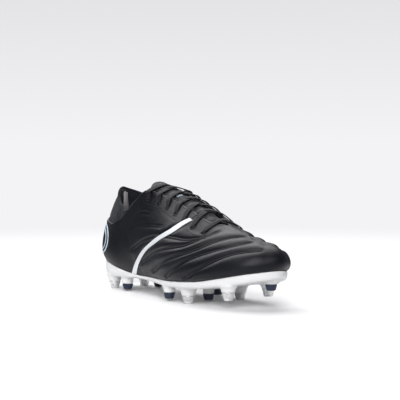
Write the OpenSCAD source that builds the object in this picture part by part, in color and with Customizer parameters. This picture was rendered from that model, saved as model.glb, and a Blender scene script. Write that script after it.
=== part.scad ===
// Football boot with a hybrid sole: six screw-in studs and six moulded studs.
// Units are millimetres. X runs from the heel to the toe, Y from the outer (lateral)
// side to the inner (medial) side, and Z up from the plane of the metal stud tips.

/* [Upper] */
// Thickness of the outer leather
leather = 1.6; // [1.2:0.1:1.8]
// Thickness of the stiffeners behind the leather
stiffener = 0.8; // [0.6:0.1:1]
// Thickness of the foam in the collar at its fullest
collar_pad = 4.6; // [3:0.2:6]
// Diameter of each punched lace hole
eyelet_d = 4.6; // [4:0.2:5]
// How far the stripe stands proud of the leather
stripe_rise = 0.6; // [0.4:0.1:1]

/* [Laces and tongue] */
// Width of the flat lace
lace_w = 6.0; // [5:0.5:7]
// Thickness of the flat lace
lace_t = 1.2; // [1:0.1:1.4]
// Thickness of the tongue foam
tongue_pad = 4.0; // [3:0.5:5]
// Height of the tongue's free top above the throat
tongue_rise = 8; // [6:0.5:10]

/* [Sole] */
// Thickness of the sole plate
plate_t = 3.5; // [3:0.25:4]
// Diameter of a screw-in stud at its base
stud_base_d = 12.4; // [11:0.2:13]
// Diameter of a screw-in stud at its tip
stud_tip_d = 8.8; // [8:0.2:10]
// Diameter of the threaded spigot
spigot_d = 6.0; // [5:0.5:6.5]
// Running clearance between a spigot and its insert, on the radius
thread_gap = 0.06; // [0.03:0.01:0.09]
// Length of thread held in the insert
thread_grip = 6; // [5:0.5:6.5]

/* [Hidden] */

// Half the boot's length, and its sideways offset: the origin lies under the middle of its box
half_length = 142;
side_offset = -2.5;

// Four curves shape the upper. Each row is a station from the heel's back to the toe's tip:
// x, y on the lateral side, y on the medial side, z lateral, z medial.
// The feather line, where the upper meets the sole
FEATHER = [[4, 0, 0, 38, 38], [7.5, -13, 12, 33, 33], [18, -22.5, 21.5, 30, 30], [38, -28, 28, 26.5, 26.5],
    [62, -29, 28.5, 22.5, 22.5], [88, -29.5, 26.5, 20, 20], [113, -32.5, 27.5, 20, 20],
    [138, -38.5, 32, 20.5, 20.5], [163, -44, 37.5, 21, 21], [188, -46, 40.5, 22.5, 22.5],
    [213, -44, 40.5, 24.5, 24.5], [238, -38, 36.5, 29, 29], [264, -23, 25, 34.5, 34.5],
    [278, 3.5, 3.5, 37.5, 37.5]];
// The lower handle of each rib, which sets how far the wall bellies out
BELLY = [[-7, 0, 0, 47, 47], [-3.5, -19, 18, 46, 46], [9, -32, 31, 44, 44], [36, -38.5, 37, 45, 45],
    [61, -35, 33, 44, 44], [88, -37, 33, 46, 46], [114, -41, 35, 48, 50],
    [140, -48, 40, 46, 48], [166, -55, 47, 42, 44], [192, -57, 51.5, 40, 42],
    [218, -54, 51.5, 38, 40], [246, -47, 46, 39, 41], [272, -29, 31, 41.5, 42.5],
    [288, 3.5, 3.5, 42.5, 42.5]];
// The upper handle of each rib, which sets the shoulder
SHOULDER = [[12, 0, 0, 85, 85], [14.5, -12, 12, 84, 84], [21, -19.5, 20, 82, 86], [40, -24, 25.5, 76, 84],
    [61, -29, 28, 66, 82], [91, -29, 29, 84, 88], [116, -31, 31, 88, 90],
    [141, -32, 32, 86, 86], [167, -35, 32, 80, 80], [192, -36, 33, 71, 73],
    [217, -30, 31, 68, 69], [244, -25, 26, 64, 64], [268, -16, 20, 60.5, 60.5], [282, 3.5, 3.5, 58, 58]];
// The top edge: collar, then the edge of the throat, then the ridge of the toe
CREST = [[14, 0, 0, 108, 108], [18.5, -8, 8, 105.5, 106], [27, -14.5, 15.5, 98, 103], [42, -21, 22, 90.5, 98],
    [60, -25.5, 26, 85.5, 95], [90, -23.5, 23.5, 107, 107], [114, -16.5, 18.5, 104.5, 106],
    [138, -14, 16.5, 97.5, 98.5], [163, -12.5, 14.5, 89.5, 90.5], [188, -9.5, 11.5, 80, 81],
    [208, 1, 1, 75.5, 75.5], [236, 1.5, 1.5, 67.5, 67.5], [256, 3, 3, 62, 62], [265, 3.5, 3.5, 60, 60]];
// The underside of the sole plate, as x and z
UNDERSIDE = [[-40, 17], [4, 17], [20, 14.6], [40, 14.2], [62, 14.6], [88, 15.8], [113, 15.4], [138, 14.8],
    [163, 14.6], [188, 15.2], [213, 17], [238, 20.3], [264, 25], [286, 30], [320, 37]];

// Where the stripe crosses the lateral side, as station and height fraction, from sole to laces
STRIPE = [[4.78, 0], [5.2, 0.16], [5.8, 0.29], [6.7, 0.42], [7.75, 0.62], [8.33, 0.88]];
stripe_top = 0.87;

// Lace holes, from the toe end to the top: station and height fraction
EYELETS = [for (k = [0:6]) [9.29 - 0.64 * k, 0.77 + 0.018 * k]];
last_eyelet = len(EYELETS) - 1;

// Screw-in studs: x, y, height of the tip, and radius of the boss where it meets the plate
STUDS = [[27, -18, 0, 10], [26, 21, 0, 10], [185.5, -34, 0, 11], [242, -28, 8, 9.5],
    [188.5, 28, 0, 11.5], [237, 25, 8, 11.5]];
// Moulded studs: x, y, height of the tip, and radius where the stud meets the plate
MOULDED = [[56.5, -20.5, 1.5, 8], [53, 22, 1, 8], [156, -36, 2.5, 8], [150.5, 28.5, 1, 8],
    [181, -6, 1.5, 8.5], [267.5, 3.5, 18, 8]];
stud_h = 8;
stud_collar_h = 1.6;
stud_chamfer = 0.8;
moulded_tip_h = 6;
moulded_tip_d = 9.2;
moulded_neck_d = 11.4;
// Hollow curve of the bosses: higher powers keep the neck straight for longer
boss_power = 2.4;
moulded_power = 3.5;
boss_lip = 0.6;
insert_r = 4.6;
insert_h = 7;
insert_floor = 0.8;
// Depth of the socket in each stud that holds its spigot
socket = 3.5;
// Face-to-face clearance of parts that fit together
fit = 0.02;
axial_gap = 0.05;

// Stations once round the boot: heel, lateral side, toe, medial side
toe = 13;
round_trip = 26;
function loop(t) = concat([for (r = t) [r[0], r[1], r[3]]],
    [for (i = [toe - 1:-1:1]) [t[i][0], t[i][2], t[i][4]]]);
RINGS = [loop(FEATHER), loop(BELLY), loop(SHOULDER), loop(CREST)];

function wrap(i) = ((i % round_trip) + round_trip) % round_trip;
function spline(a, b, c, d, f) =
    b + 0.5 * f * (c - a + f * (2 * a - 5 * b + 4 * c - d + f * (3 * (b - c) + d - a)));
function ring(r, u) = let (i = floor(u))
    spline(r[wrap(i - 1)], r[wrap(i)], r[wrap(i + 1)], r[wrap(i + 2)], u - i);
function bezier(a, b, c, d, v) = let (w = 1 - v)
    w * w * w * a + 3 * w * w * v * b + 3 * w * v * v * c + v * v * v * d;
// A point of the upper's outer face: u is the station, v runs from the sole (0) to the top edge (1)
function skin(u, v) = bezier(ring(RINGS[0], u), ring(RINGS[1], u), ring(RINGS[2], u), ring(RINGS[3], u), v);
function unit(a) = a / norm(a);
function outward(u, v) = let (w = min(max(v, 0.02), 0.96))
    unit(cross(skin(u + 0.05, w) - skin(u - 0.05, w), skin(u, w + 0.02) - skin(u, w - 0.02)));
// The same point moved inwards by a depth
function under(u, v, depth) = skin(u, v) - depth * outward(u, v);
function mix(a, b, f) = a + (b - a) * f;
function along(t, x) = lookup(x, t);
function smooth(f) = f * f * (3 - 2 * f);

function quad(a, b, c, d) = [[a, b, c], [a, c, d]];
// Closes two grids of points, outer and inner, into one solid sheet
module sheet(outer, inner, zipped_end = false) {
    n = len(outer);
    m = len(outer[0]);
    k = n * m;
    last = (n - 1) * m;
    front = [for (i = [0:n - 2], j = [0:m - 2]) let (a = i * m + j) each quad(a, a + 1, a + m + 1, a + m)];
    back = [for (i = [0:n - 2], j = [0:m - 2]) let (a = k + i * m + j) each quad(a + m, a + m + 1, a + 1, a)];
    left = [for (i = [0:n - 2]) let (a = i * m) each quad(a, a + m, k + a + m, k + a)];
    right = [for (i = [0:n - 2]) let (a = i * m + m - 1) each quad(k + a, k + a + m, a + m, a)];
    near_end = [for (j = [0:m - 2]) each quad(k + j, k + j + 1, j + 1, j)];
    far_end = [for (j = [0:m - 2]) let (a = last + j) each quad(a, a + 1, k + a + 1, k + a)];
    points = concat([for (r = outer) each r], [for (r = inner) each r]);
    faces = concat(front, back, left, right, near_end, zipped_end ? [] : far_end);
    polyhedron(points, faces, convexity = 10);
}
// A sheet whose rows run the other way
function backwards(l) = [for (i = [len(l) - 1:-1:0]) l[i]];
module mirrored_sheet(near, far) {
    sheet(backwards(near), backwards(far));
}

// A patch of the upper between two depths. start, end and the depths are functions.
function patch(start, end, low, high, depth, nu, nv) = [for (i = [0:nu]) [for (j = [0:nv])
    let (v = mix(low(i / nu), high(i / nu), j / nv), u = mix(start(v), end(v), i / nu))
    under(u, v, depth(u, v))]];
module panel(start, end, low, high, near, far, nu, nv) {
    sheet(patch(start, end, low, high, near, nu, nv), patch(start, end, low, high, far, nu, nv));
}
// A patch that wraps the toe: both sides at once, joined along the ridge
function hood(start, low, high, depth, nu, nv) = [for (i = [0:nu]) [for (j = [0:2 * nv])
    let (left = j <= nv, f = left ? j / nv : 2 - j / nv, v = mix(low, high, f),
    s = mix(start(v), toe, i / nu))
    under(left ? s : round_trip - s, v, depth)]];

function constant(c) = function(a, b = 0) c;

// Turns children so that their +Z points along d, and moves them to p
module aim(p, d) {
    translate(p) rotate([0, acos(d.z / norm(d)), atan2(d.y, d.x)]) children();
}
module place() {
    translate([-half_length, -side_offset, 0]) children();
}

// Lace holes through every layer of one side
module eyelet_holes(medial) {
    for (e = EYELETS) {
        u = medial ? round_trip - e[0] : e[0];
        aim(under(u, e[1], 8), outward(u, e[1])) cylinder(d = eyelet_d, h = 12, $fn = 24);
    }
}

/* ---- sole ---- */

function underside(x) = along(UNDERSIDE, x);
// How far the roots of the studs reach into the plate, short of the foot bed
root_into_plate = 2.5;
function foot_bed(x) = underside(x) + plate_t;
function rim_normal(u) = let (d = ring(RINGS[0], u + 0.1) - ring(RINGS[0], u - 0.1)) unit([d.y, -d.x, 0]);
function rim_point(u, out, z) = let (p = ring(RINGS[0], u) + out * rim_normal(u)) [p.x, p.y, z];
// The middle of the sole is a line that stops short of the heel and the toe
spine = [26, 262];
function spine_x(x) = mix(spine.x, spine.y, (x - FEATHER[0].x) / (FEATHER[toe].x - FEATHER[0].x));
// Clearance between the rim and the upper on it
rim_gap = 0.15;
// One profile of the sole, from the middle of the foot bed over the rim to the middle of the underside
MIDDLE = [[0, 0], [150, -4], [240, 0], [280, 4]];
function sole_profile(u) =
    let (f = ring(RINGS[0], u), s = spine_x(f.x), low = underside(f.x), rim = f.z - rim_gap) [
    [s, along(MIDDLE, f.x), foot_bed(s)],
    rim_point(u, -6, foot_bed(f.x)),
    rim_point(u, -3.4, mix(foot_bed(f.x), rim, 0.35)),
    rim_point(u, -2.9, rim),
    rim_point(u, 1.2, rim),
    rim_point(u, 1.5, mix(low, rim, 0.5)),
    rim_point(u, -0.6, low + 1.4),
    rim_point(u, -3.4, low),
    [s, along(MIDDLE, f.x), underside(s)]];
module sole_body() {
    n = 78;
    rows = [for (i = [0:n - 1]) sole_profile(i * round_trip / n)];
    m = len(rows[0]);
    points = [for (r = rows) each r];
    faces = [for (i = [0:n - 1], j = [0:m - 2]) let (a = i * m + j, b = ((i + 1) % n) * m + j)
        each [[a, b, b + 1], [a, b + 1, a + 1]]];
    polyhedron(points, faces, convexity = 10);
}
// A stud's root, from a narrow neck to a wide foot on the plate, hollow in profile
module root(low, high, h, power) {
    steps = 8;
    curve = [for (i = [0:steps]) [mix(low, high, pow(i / steps, power)), h * i / steps]];
    rotate_extrude($fn = 64) polygon(concat([[0, 0]], curve, [[0, h]]));
}
// The flared boss that carries a screw-in stud
module boss(s) {
    base = s.z + stud_h;
    translate([s.x, s.y, base])
        root(stud_base_d / 2 + boss_lip, s[3], underside(s.x) + root_into_plate - base, boss_power);
}
module insert_hole(s) {
    translate([s.x, s.y, s.z + stud_h + insert_floor])
        cylinder(r = insert_r, h = insert_h + 2 * axial_gap, $fn = 48);
    translate([s.x, s.y, s.z]) cylinder(d = spigot_d + 1, h = stud_h + 1, $fn = 48);
}
module moulded_stud(s) {
    base = s.z + moulded_tip_h;
    translate([s.x, s.y, base])
        root(moulded_neck_d / 2, s[3], underside(s.x) + root_into_plate - base, moulded_power);
}

module soleplate() {
    color("whitesmoke") place() difference() {
        union() {
            sole_body();
            for (s = STUDS) boss(s);
            for (s = MOULDED) moulded_stud(s);
        }
        for (s = STUDS) insert_hole(s);
    }
}

module thread_inserts() {
    color("goldenrod") place() for (s = STUDS) {
        translate([s.x, s.y, s.z + stud_h + insert_floor + axial_gap]) difference() {
            cylinder(r = insert_r - fit, h = insert_h, $fn = 48);
            translate([0, 0, -1]) cylinder(r = spigot_d / 2 + thread_gap, h = insert_h + 2, $fn = 48);
        }
    }
}

module moulded_stud_tips() {
    color("midnightblue") place() for (s = MOULDED) {
        translate([s.x, s.y, s.z])
            cylinder(d1 = moulded_tip_d, d2 = moulded_neck_d, h = moulded_tip_h - fit, $fn = 48);
    }
}

// Two slots near the tip take the stud spanner
slot_w = 5;
slot_h = 3.2;
slot_depth = 3;
slot_z = 2.6;
module stud(s) {
    shaft_h = stud_h - stud_chamfer - stud_collar_h;
    color("silver") place() translate([s.x, s.y, s.z]) difference() {
        union() {
            cylinder(d1 = stud_tip_d - 2 * stud_chamfer, d2 = stud_tip_d, h = stud_chamfer, $fn = 48);
            translate([0, 0, stud_chamfer])
                cylinder(d1 = stud_tip_d, d2 = stud_base_d - stud_chamfer, h = shaft_h, $fn = 48);
            translate([0, 0, stud_h - stud_collar_h])
                cylinder(d = stud_base_d, h = stud_collar_h - 2 * axial_gap, $fn = 48);
        }
        for (side = [-1, 1]) {
            translate([side * (stud_tip_d / 2 + 1.1), 0, slot_z])
                cube([slot_depth, slot_w, slot_h], center = true);
        }
        translate([0, 0, stud_h - socket]) cylinder(d = spigot_d, h = stud_h, $fn = 48);
    }
}
module stud_1() { stud(STUDS[0]); }
module stud_2() { stud(STUDS[1]); }
module stud_3() { stud(STUDS[2]); }
module stud_4() { stud(STUDS[3]); }
module stud_5() { stud(STUDS[4]); }
module stud_6() { stud(STUDS[5]); }

module spigot(s) {
    length = socket - axial_gap + insert_floor + axial_gap + thread_grip;
    color("dimgray") place() translate([s.x, s.y, s.z + stud_h - socket + axial_gap])
        cylinder(d = spigot_d - fit, h = length, $fn = 48);
}
module spigot_1() { spigot(STUDS[0]); }
module spigot_2() { spigot(STUDS[1]); }
module spigot_3() { spigot(STUDS[2]); }
module spigot_4() { spigot(STUDS[3]); }
module spigot_5() { spigot(STUDS[4]); }
module spigot_6() { spigot(STUDS[5]); }

/* ---- foot bed ---- */

// A sheet that lies on the foot bed: from one x to another, inset from the rim, between two heights
function station_of(x) = lookup(x, [for (i = [0:toe]) [FEATHER[i][0], i]]);
function bed_grid(x0, x1, inset, lift, n, m) = [for (i = [0:n])
    let (x = mix(x0, x1, i / n), u = station_of(x),
    a = ring(RINGS[0], u).y + inset, b = ring(RINGS[0], round_trip - u).y - inset)
    [for (j = [0:m]) [x, mix(a, b, j / m), foot_bed(x) + lift]]];
board_low = 1.45;
board_t = 1.4;
sockliner_low = 3.05;
sockliner_t = 3.15;
module bed_sheet(x0, x1, inset, low, high, n = 24, m = 4) {
    sheet(bed_grid(x0, x1, inset, low, n, m), bed_grid(x0, x1, inset, high, n, m));
}

module shank() {
    color("slategray") place() bed_sheet(70, 150, 22, 0.25, 1.25, 8, 2);
}
module insole_board() {
    color("tan") place() bed_sheet(14, 268, 8.5, board_low, board_low + board_t);
}
module sockliner() {
    color("dimgray") place() bed_sheet(15, 266, 8.8, sockliner_low, sockliner_low + sockliner_t);
}

/* ---- upper ---- */

function stripe_at(v) = lookup(v, [for (s = STRIPE) [s[1], s[0]]]);
// The seam between quarter and vamp, on each side
function seam_lateral(v) = stripe_at(v);
function seam_medial(v) = round_trip - mix(6.4, 9.2, smooth(v));
// Clearance along the seam, in stations
seam_gap = 0.02;

// Depths of the layers behind the outer leather
gap = 0.3;
stiff_near = leather + gap;
stiff_far = stiff_near + stiffener;
textile_t = 0.95;
foam_near = stiff_far + 0.4;
// The foam's thickness at the ends of the padding
foam_edge = 0.3;
lining_t = 0.7;
tab_t = 0.9;
// The collar's padding is fullest between the ankle and the top line, and fades towards the laces
pad_low = 0.58;
collar_end = 4.9;
collar_top = 0.965;
function pad(u, v) = let (side = u > toe ? round_trip - u : abs(u),
    f = min(max((v - pad_low) / (1 - pad_low), 0), 1))
    collar_pad * sin(180 * pow(f, 0.9)) * (1 - 0.7 * pow(min(side / collar_end, 1), 3));
function foam_far(u, v) = foam_near + foam_edge + pad(u, v);
function lining_near(u, v) = foam_far(u, v) + 0.45;
function lining_far(u, v) = lining_near(u, v) + lining_t;

// The vamp's two sides stand apart along the throat, and meet in a ridge from here to the toe
throat_end = 10;
module vamp() {
    n = 20;
    knee = 8;
    m = 10;
    w = 2 * m + 2;
    function station(seam, i) = i <= knee ? mix(seam, throat_end, i / knee)
        : mix(throat_end, toe, (i - knee) / (n - knee));
    function point(i, j, depth) = let (left = j <= m, f = left ? j / m : (w - 1 - j) / m,
        s = station((left ? seam_lateral(f) : round_trip - seam_medial(f)) + seam_gap, i))
        under(left ? s : round_trip - s, f, depth);
    // The number of a point; on the ridge the medial side shares the lateral side's points
    function at(i, j, k) = (k * (n + 1) + i) * w + (j == m + 1 && i >= knee ? m : j);
    function left_wall(i, j) = quad(at(i, j, 0), at(i + 1, j, 0), at(i + 1, j, 1), at(i, j, 1));
    function right_wall(i, j) = quad(at(i, j, 1), at(i + 1, j, 1), at(i + 1, j, 0), at(i, j, 0));
    columns = [for (j = [0:w - 2]) if (j != m) j];
    front = [for (i = [0:n - 1], j = columns)
        each quad(at(i, j, 0), at(i, j + 1, 0), at(i + 1, j + 1, 0), at(i + 1, j, 0))];
    back = [for (i = [0:n - 1], j = columns)
        each quad(at(i + 1, j, 1), at(i + 1, j + 1, 1), at(i, j + 1, 1), at(i, j, 1))];
    seams = [for (j = columns) each quad(at(0, j, 1), at(0, j + 1, 1), at(0, j + 1, 0), at(0, j, 0))];
    feather = [for (i = [0:n - 1]) each concat(left_wall(i, 0), right_wall(i, w - 1))];
    throat = [for (i = [0:knee - 1]) each concat(right_wall(i, m), left_wall(i, m + 1))];
    points = [for (depth = [0, leather], i = [0:n], j = [0:w - 1]) point(i, j, depth)];
    color([0.09, 0.10, 0.12]) place() difference() {
        polyhedron(points, concat(front, back, seams, feather, throat), convexity = 10);
        eyelet_holes(false);
        eyelet_holes(true);
    }
}

// The quarters' top edge, as a fraction of the way from the heel's back to the seam
function quarter_top(f) = lookup(f, [[0, 0.62], [0.36, 0.63], [0.40, 0.75], [0.475, collar_top],
    [0.57, collar_top], [0.62, 1], [1, 1]]);
module lateral_quarter() {
    color([0.11, 0.12, 0.14]) place() difference() {
        panel(constant(0), function(v) seam_lateral(v), constant(0), function(f) quarter_top(f),
            constant(0), constant(leather), 28, 9);
        eyelet_holes(false);
    }
}
module medial_quarter() {
    color([0.11, 0.12, 0.14]) place() difference() {
        panel(function(v) seam_medial(v), constant(round_trip), constant(0), function(f) quarter_top(1 - f),
            constant(0), constant(leather), 28, 9);
        eyelet_holes(true);
    }
}

// The textile of the padded collar, tucked under the quarters
module collar_shell() {
    color("darkslategray") place() panel(constant(-3.9), constant(3.9),
        function(f) lookup(abs(2 * f - 1) * 3.9, [[0, 0.59], [2.9, 0.6], [3.2, 0.70], [3.9, 0.9]]),
        constant(collar_top),
        constant(stiff_near), constant(stiff_near + textile_t), 24, 5);
}

module heel_counter() {
    color("burlywood") place() panel(constant(-4), constant(4), constant(0.03), constant(0.56),
        constant(stiff_near), constant(stiff_far), 20, 6);
}

module toe_puff() {
    color("burlywood") place() panel(constant(11), constant(15), constant(0.04), constant(0.72),
        constant(stiff_near), constant(stiff_far), 24, 9);
}

module collar_foam() {
    color("gainsboro") place() panel(constant(-collar_end), constant(collar_end), constant(pad_low + 0.03),
        constant(collar_top - 0.01), constant(foam_near), function(u, v) foam_far(u, v), 30, 8);
}

module collar_lining() {
    color("lightslategray") place() panel(constant(-9.5), constant(9.5), constant(0.03),
        function(f) lookup(abs(2 * f - 1) * 9.5,
            [[0, collar_top], [collar_end, collar_top], [5.4, 0.72], [9.5, 0.68]]),
        function(u, v) lining_near(u, v), function(u, v) lining_far(u, v), 54, 12);
}

forefoot_depth = 3.5;
module forefoot_lining() {
    n = 9;
    m = 8;
    start = constant(throat_end);
    color("lightslategray") place() sheet(hood(start, 0.03, 1, forefoot_depth, n, m),
        hood(start, 0.03, 1, forefoot_depth + lining_t, n, m), zipped_end = true);
}

module heel_tab() {
    color("gray") place() panel(constant(-1.35), constant(1.35), constant(0.64), constant(collar_top),
        function(u, v) lining_far(u, v) + gap, function(u, v) lining_far(u, v) + gap + tab_t, 8, 8);
}

// The eyestays' reach along the throat, in stations, and up the side
stay_top = 5.3;
stay_toe = 9.62;
// The narrow stays lie this much deeper than the other stiffeners
stay_gap = 0.2;
module eyestay(from, to, medial) {
    color("black") place() difference() {
        panel(constant(from), constant(to), constant(0.70), constant(0.995),
            constant(stiff_near + stay_gap), constant(stiff_far), 20, 5);
        eyelet_holes(medial);
    }
}
module lateral_eyestay() {
    eyestay(stay_top, stay_toe, false);
}
module medial_eyestay() {
    eyestay(round_trip - stay_toe, round_trip - stay_top, true);
}

// Half the stripe's width, measured in stations, at a height fraction
function stripe_half(v) = lookup(v,
    [[0, 0.09], [0.16, 0.10], [0.29, 0.13], [0.42, 0.17], [0.62, 0.16], [0.88, 0.09]]);
// Trim glued on the leather stands this far off it
trim_gap = 0.05;
module side_stripe() {
    color("white") place() panel(function(v) stripe_at(v) - stripe_half(v),
        function(v) stripe_at(v) + stripe_half(v), constant(0.005), constant(stripe_top),
        constant(-trim_gap - stripe_rise), constant(-trim_gap), 2, 26);
}

// A plain ring lying on the heel's lateral side
badge = [1.95, 0.37];
badge_t = 0.5;
module badge_ring(ru, rv, half) {
    n = 40;
    outer = -trim_gap - badge_t;
    corners = [[1 + half, outer], [1 + half, -trim_gap], [1 - half, -trim_gap], [1 - half, outer]];
    rows = [for (i = [0:n - 1]) let (a = 360 * i / n) [for (c = corners)
        under(badge.x + ru * c[0] * cos(a), badge.y + rv * c[0] * sin(a), c[1])]];
    tube_faces = [for (i = [0:n - 1], j = [0:3]) let (a = i * 4, b = ((i + 1) % n) * 4, p = (j + 1) % 4)
        each quad(a + j, b + j, b + p, a + p)];
    polyhedron([for (r = rows) each r], tube_faces, convexity = 10);
}
module heel_badge() {
    color("aliceblue") place() {
        badge_ring(0.82, 0.20, 0.055);
        badge_ring(0.58, 0.142, 0.05);
    }
}

// A tube through rings of corners, closed at both ends
module strip(rings) {
    n = len(rings);
    m = len(rings[0]);
    sides = [for (i = [0:n - 2], j = [0:m - 1]) let (a = i * m, b = a + m, p = (j + 1) % m)
        each quad(a + j, b + j, b + p, a + p)];
    start = [for (j = [1:m - 2]) [0, j, j + 1]];
    last = (n - 1) * m;
    finish = [for (j = [1:m - 2]) [last, last + j + 1, last + j]];
    polyhedron([for (r = rings) each r], concat(sides, start, finish), convexity = 10);
}

// The rolled edge along the collar
binding_end = 4.7;
binding_depth = 2.7;
binding_r = [1.9, 1.5];
function binding_ring(u) = let (c = under(u, 1, binding_depth) + [0, 0, 0.2],
    t = unit(skin(u + 0.05, 1) - skin(u - 0.05, 1)), w = outward(u, 0.96), h = unit(cross(t, w)))
    [for (a = [0:45:315]) c + binding_r.x * cos(a) * w - binding_r.y * sin(a) * h];
module collar_binding() {
    n = 40;
    color("black") place() strip([for (i = [0:n]) binding_ring(mix(-binding_end, binding_end, i / n))]);
}

/* ---- tongue ---- */

tongue_depth = 4.5;
tongue_crown = 5;
tongue_skin = 1.2;
tongue_start = 5.2;
tongue_end = 9.6;
foam_depth = tongue_skin + gap;
tongue_back = foam_depth + tongue_pad + gap;
tongue_full = tongue_back + lining_t;
// The tongue's cross-section under the throat, at a depth below its own outer face
// The crown flattens where the tongue runs in under the vamp
function crown_at(u) = lookup(u, [[8.3, tongue_crown], [9.4, 0.4]]);
function tongue_arch(u, d, t) =
    mix(under(u, 1, tongue_depth + d), under(round_trip - u, 1, tongue_depth + d), t)
    + [0, 0, crown_at(u) * 4 * t * (1 - t)];
wing = [0.80, 0.87, 0.94];
function tongue_row(u, d) = concat([for (v = wing) under(u, v, tongue_depth + d)],
    [for (i = [0:6]) tongue_arch(u, d, i / 6)],
    [for (v = backwards(wing)) under(round_trip - u, v, tongue_depth + d)]);
module tongue_layer(near, far) {
    n = 16;
    sheet([for (i = [0:n]) tongue_row(mix(tongue_start, tongue_end, i / n), near)],
        [for (i = [0:n]) tongue_row(mix(tongue_start, tongue_end, i / n), far)]);
}
module tongue_leather() {
    color([0.16, 0.17, 0.19]) place() tongue_layer(0, tongue_skin);
}
module tongue_foam() {
    color("gainsboro") place() tongue_layer(foam_depth, foam_depth + tongue_pad);
}
module tongue_lining() {
    color("lightslategray") place() tongue_layer(tongue_back, tongue_full);
}

// The padded free top of the tongue
flap_gap = 0.4;
flap_way = [-0.8, 0, 0.6];
flap_sides = [0.03, 0.97];
// How far the rounded edge pulls in, in front and behind
edge_in = [0.9, 2];
function flap_reach(t) = tongue_rise * (1 - pow(abs(2 * t - 1), 3.2)) + 1.5;
function flap_point(t, d, f) =
    tongue_arch(tongue_start, d, t) + flap_way * (flap_gap + flap_reach(t) * f);
function flap_near(f) = mix(0, edge_in.x, pow(f, 3));
function flap_far(f) = tongue_full - mix(0, edge_in.y, pow(f, 3));
module tongue_top() {
    n = 5;
    m = 14;
    function across(j) = mix(flap_sides.x, flap_sides.y, j / m);
    near = [for (i = [0:n]) [for (j = [0:m]) flap_point(across(j), flap_near(i / n), i / n)]];
    far = [for (i = [0:n]) [for (j = [0:m]) flap_point(across(j), flap_far(i / n), i / n)]];
    color([0.20, 0.21, 0.23]) place() mirrored_sheet(near, far);
}
label_lift = [0.6, 0, 0.8];
module tongue_label() {
    function spot(i, j, lift) = let (f = mix(0.25, 0.7, i / 3))
        flap_point(mix(0.40, 0.62, j / 4), flap_near(f), f) + lift * label_lift;
    near = [for (i = [0:3]) [for (j = [0:4]) spot(i, j, 0.7)]];
    far = [for (i = [0:3]) [for (j = [0:4]) spot(i, j, 0.2)]];
    color("white") place() mirrored_sheet(near, far);
}

/* ---- lace ---- */

lace_low = 3.5;
hole_w = 3.4;
hole_t = 1.5;
function side_of(medial, u) = medial ? round_trip - u : u;
function uphill(u, v) = unit(skin(u, v + 0.03) - skin(u, v - 0.03));
// A stop on the lace's route: its place, the way its flat face looks, its width and its thickness
function stop_on(medial, u, v, depth, turn, w = lace_w) = let (s = side_of(medial, u))
    [under(s, v, depth), turn * outward(s, min(v, 0.96)), w, lace_t];
function stop_in_hole(medial, k, turn) = let (s = side_of(medial, EYELETS[k][0]), v = EYELETS[k][1])
    [under(s, v, 0.8), turn * uphill(s, v), hole_w, hole_t];
function stop_on_tongue(u, lift, turn) =
    [tongue_arch(u, 0, 0.5) + [0, 0, lift], turn * unit([0.25, 0, 1]), lace_w, lace_t];
// From the tongue's middle under the other side's edge and up through its hole
function climb(k, medial, turn) = let (a = EYELETS[k][0], b = EYELETS[k + 1][0], v = EYELETS[k + 1][1]) [
    stop_on(medial, mix(a, b, 0.76), 1, lace_low, turn),
    stop_on(medial, mix(a, b, 0.95), v + 0.055, lace_low, turn, 4.6),
    stop_in_hole(medial, k + 1, turn)];
// Over the edge from a hole to the tongue's middle
function descend(k, medial, turn, lift) = let (a = EYELETS[k][0], b = EYELETS[k + 1][0], v = EYELETS[k][1]) [
    stop_on(medial, mix(a, b, 0.06), v + 0.05, -0.9, turn, 4.8),
    stop_on(medial, mix(a, b, 0.27), 1, -1.0, turn),
    stop_on_tongue(mix(a, b, 0.5), lift, turn)];
function crossing(k, medial, turn, lift) = concat(descend(k, medial, turn, lift), climb(k, !medial, turn));
// One half of the lace, from the lowest bar to its end
function half_lace(medial, lift) = let (a = EYELETS[0][0], b = EYELETS[1][0], v = EYELETS[0][1]) concat([
    stop_on(medial, a, 1, -1.0, 1),
    stop_on(medial, a, v + 0.05, -0.9, 1, 4.8),
    [stop_in_hole(medial, 0, -1)[0], stop_in_hole(medial, 0, -1)[1], hole_w, hole_t],
    stop_on(medial, mix(a, b, 0.06), v + 0.055, lace_low, -1, 4.6),
    stop_on(medial, mix(a, b, 0.27), 1, lace_low, -1),
    stop_on_tongue(mix(a, b, 0.5), lift, -1)],
    climb(0, !medial, -1),
    [for (k = [1:last_eyelet - 1]) let (even = k % 2 == 0)
        each crossing(k, even ? medial : !medial, even ? -1 : 1, lift)],
    let (top = last_eyelet % 2 == 0 ? medial : !medial, u = EYELETS[last_eyelet][0],
        w = EYELETS[last_eyelet][1]) [
    stop_on(top, u - 0.02, w + 0.05, -0.9, -1, 4.8),
    stop_on(top, u - 0.05, 1, -1.0, -1),
    stop_on_tongue(u - 0.09, lift, -1),
    stop_on(!top, u - 0.14, 1, lace_low, -1, 3.4),
    stop_on(!top, u - 0.16, 0.97, lace_low, -1, 2)]);
over = 2.5;
beneath = 1;
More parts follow.
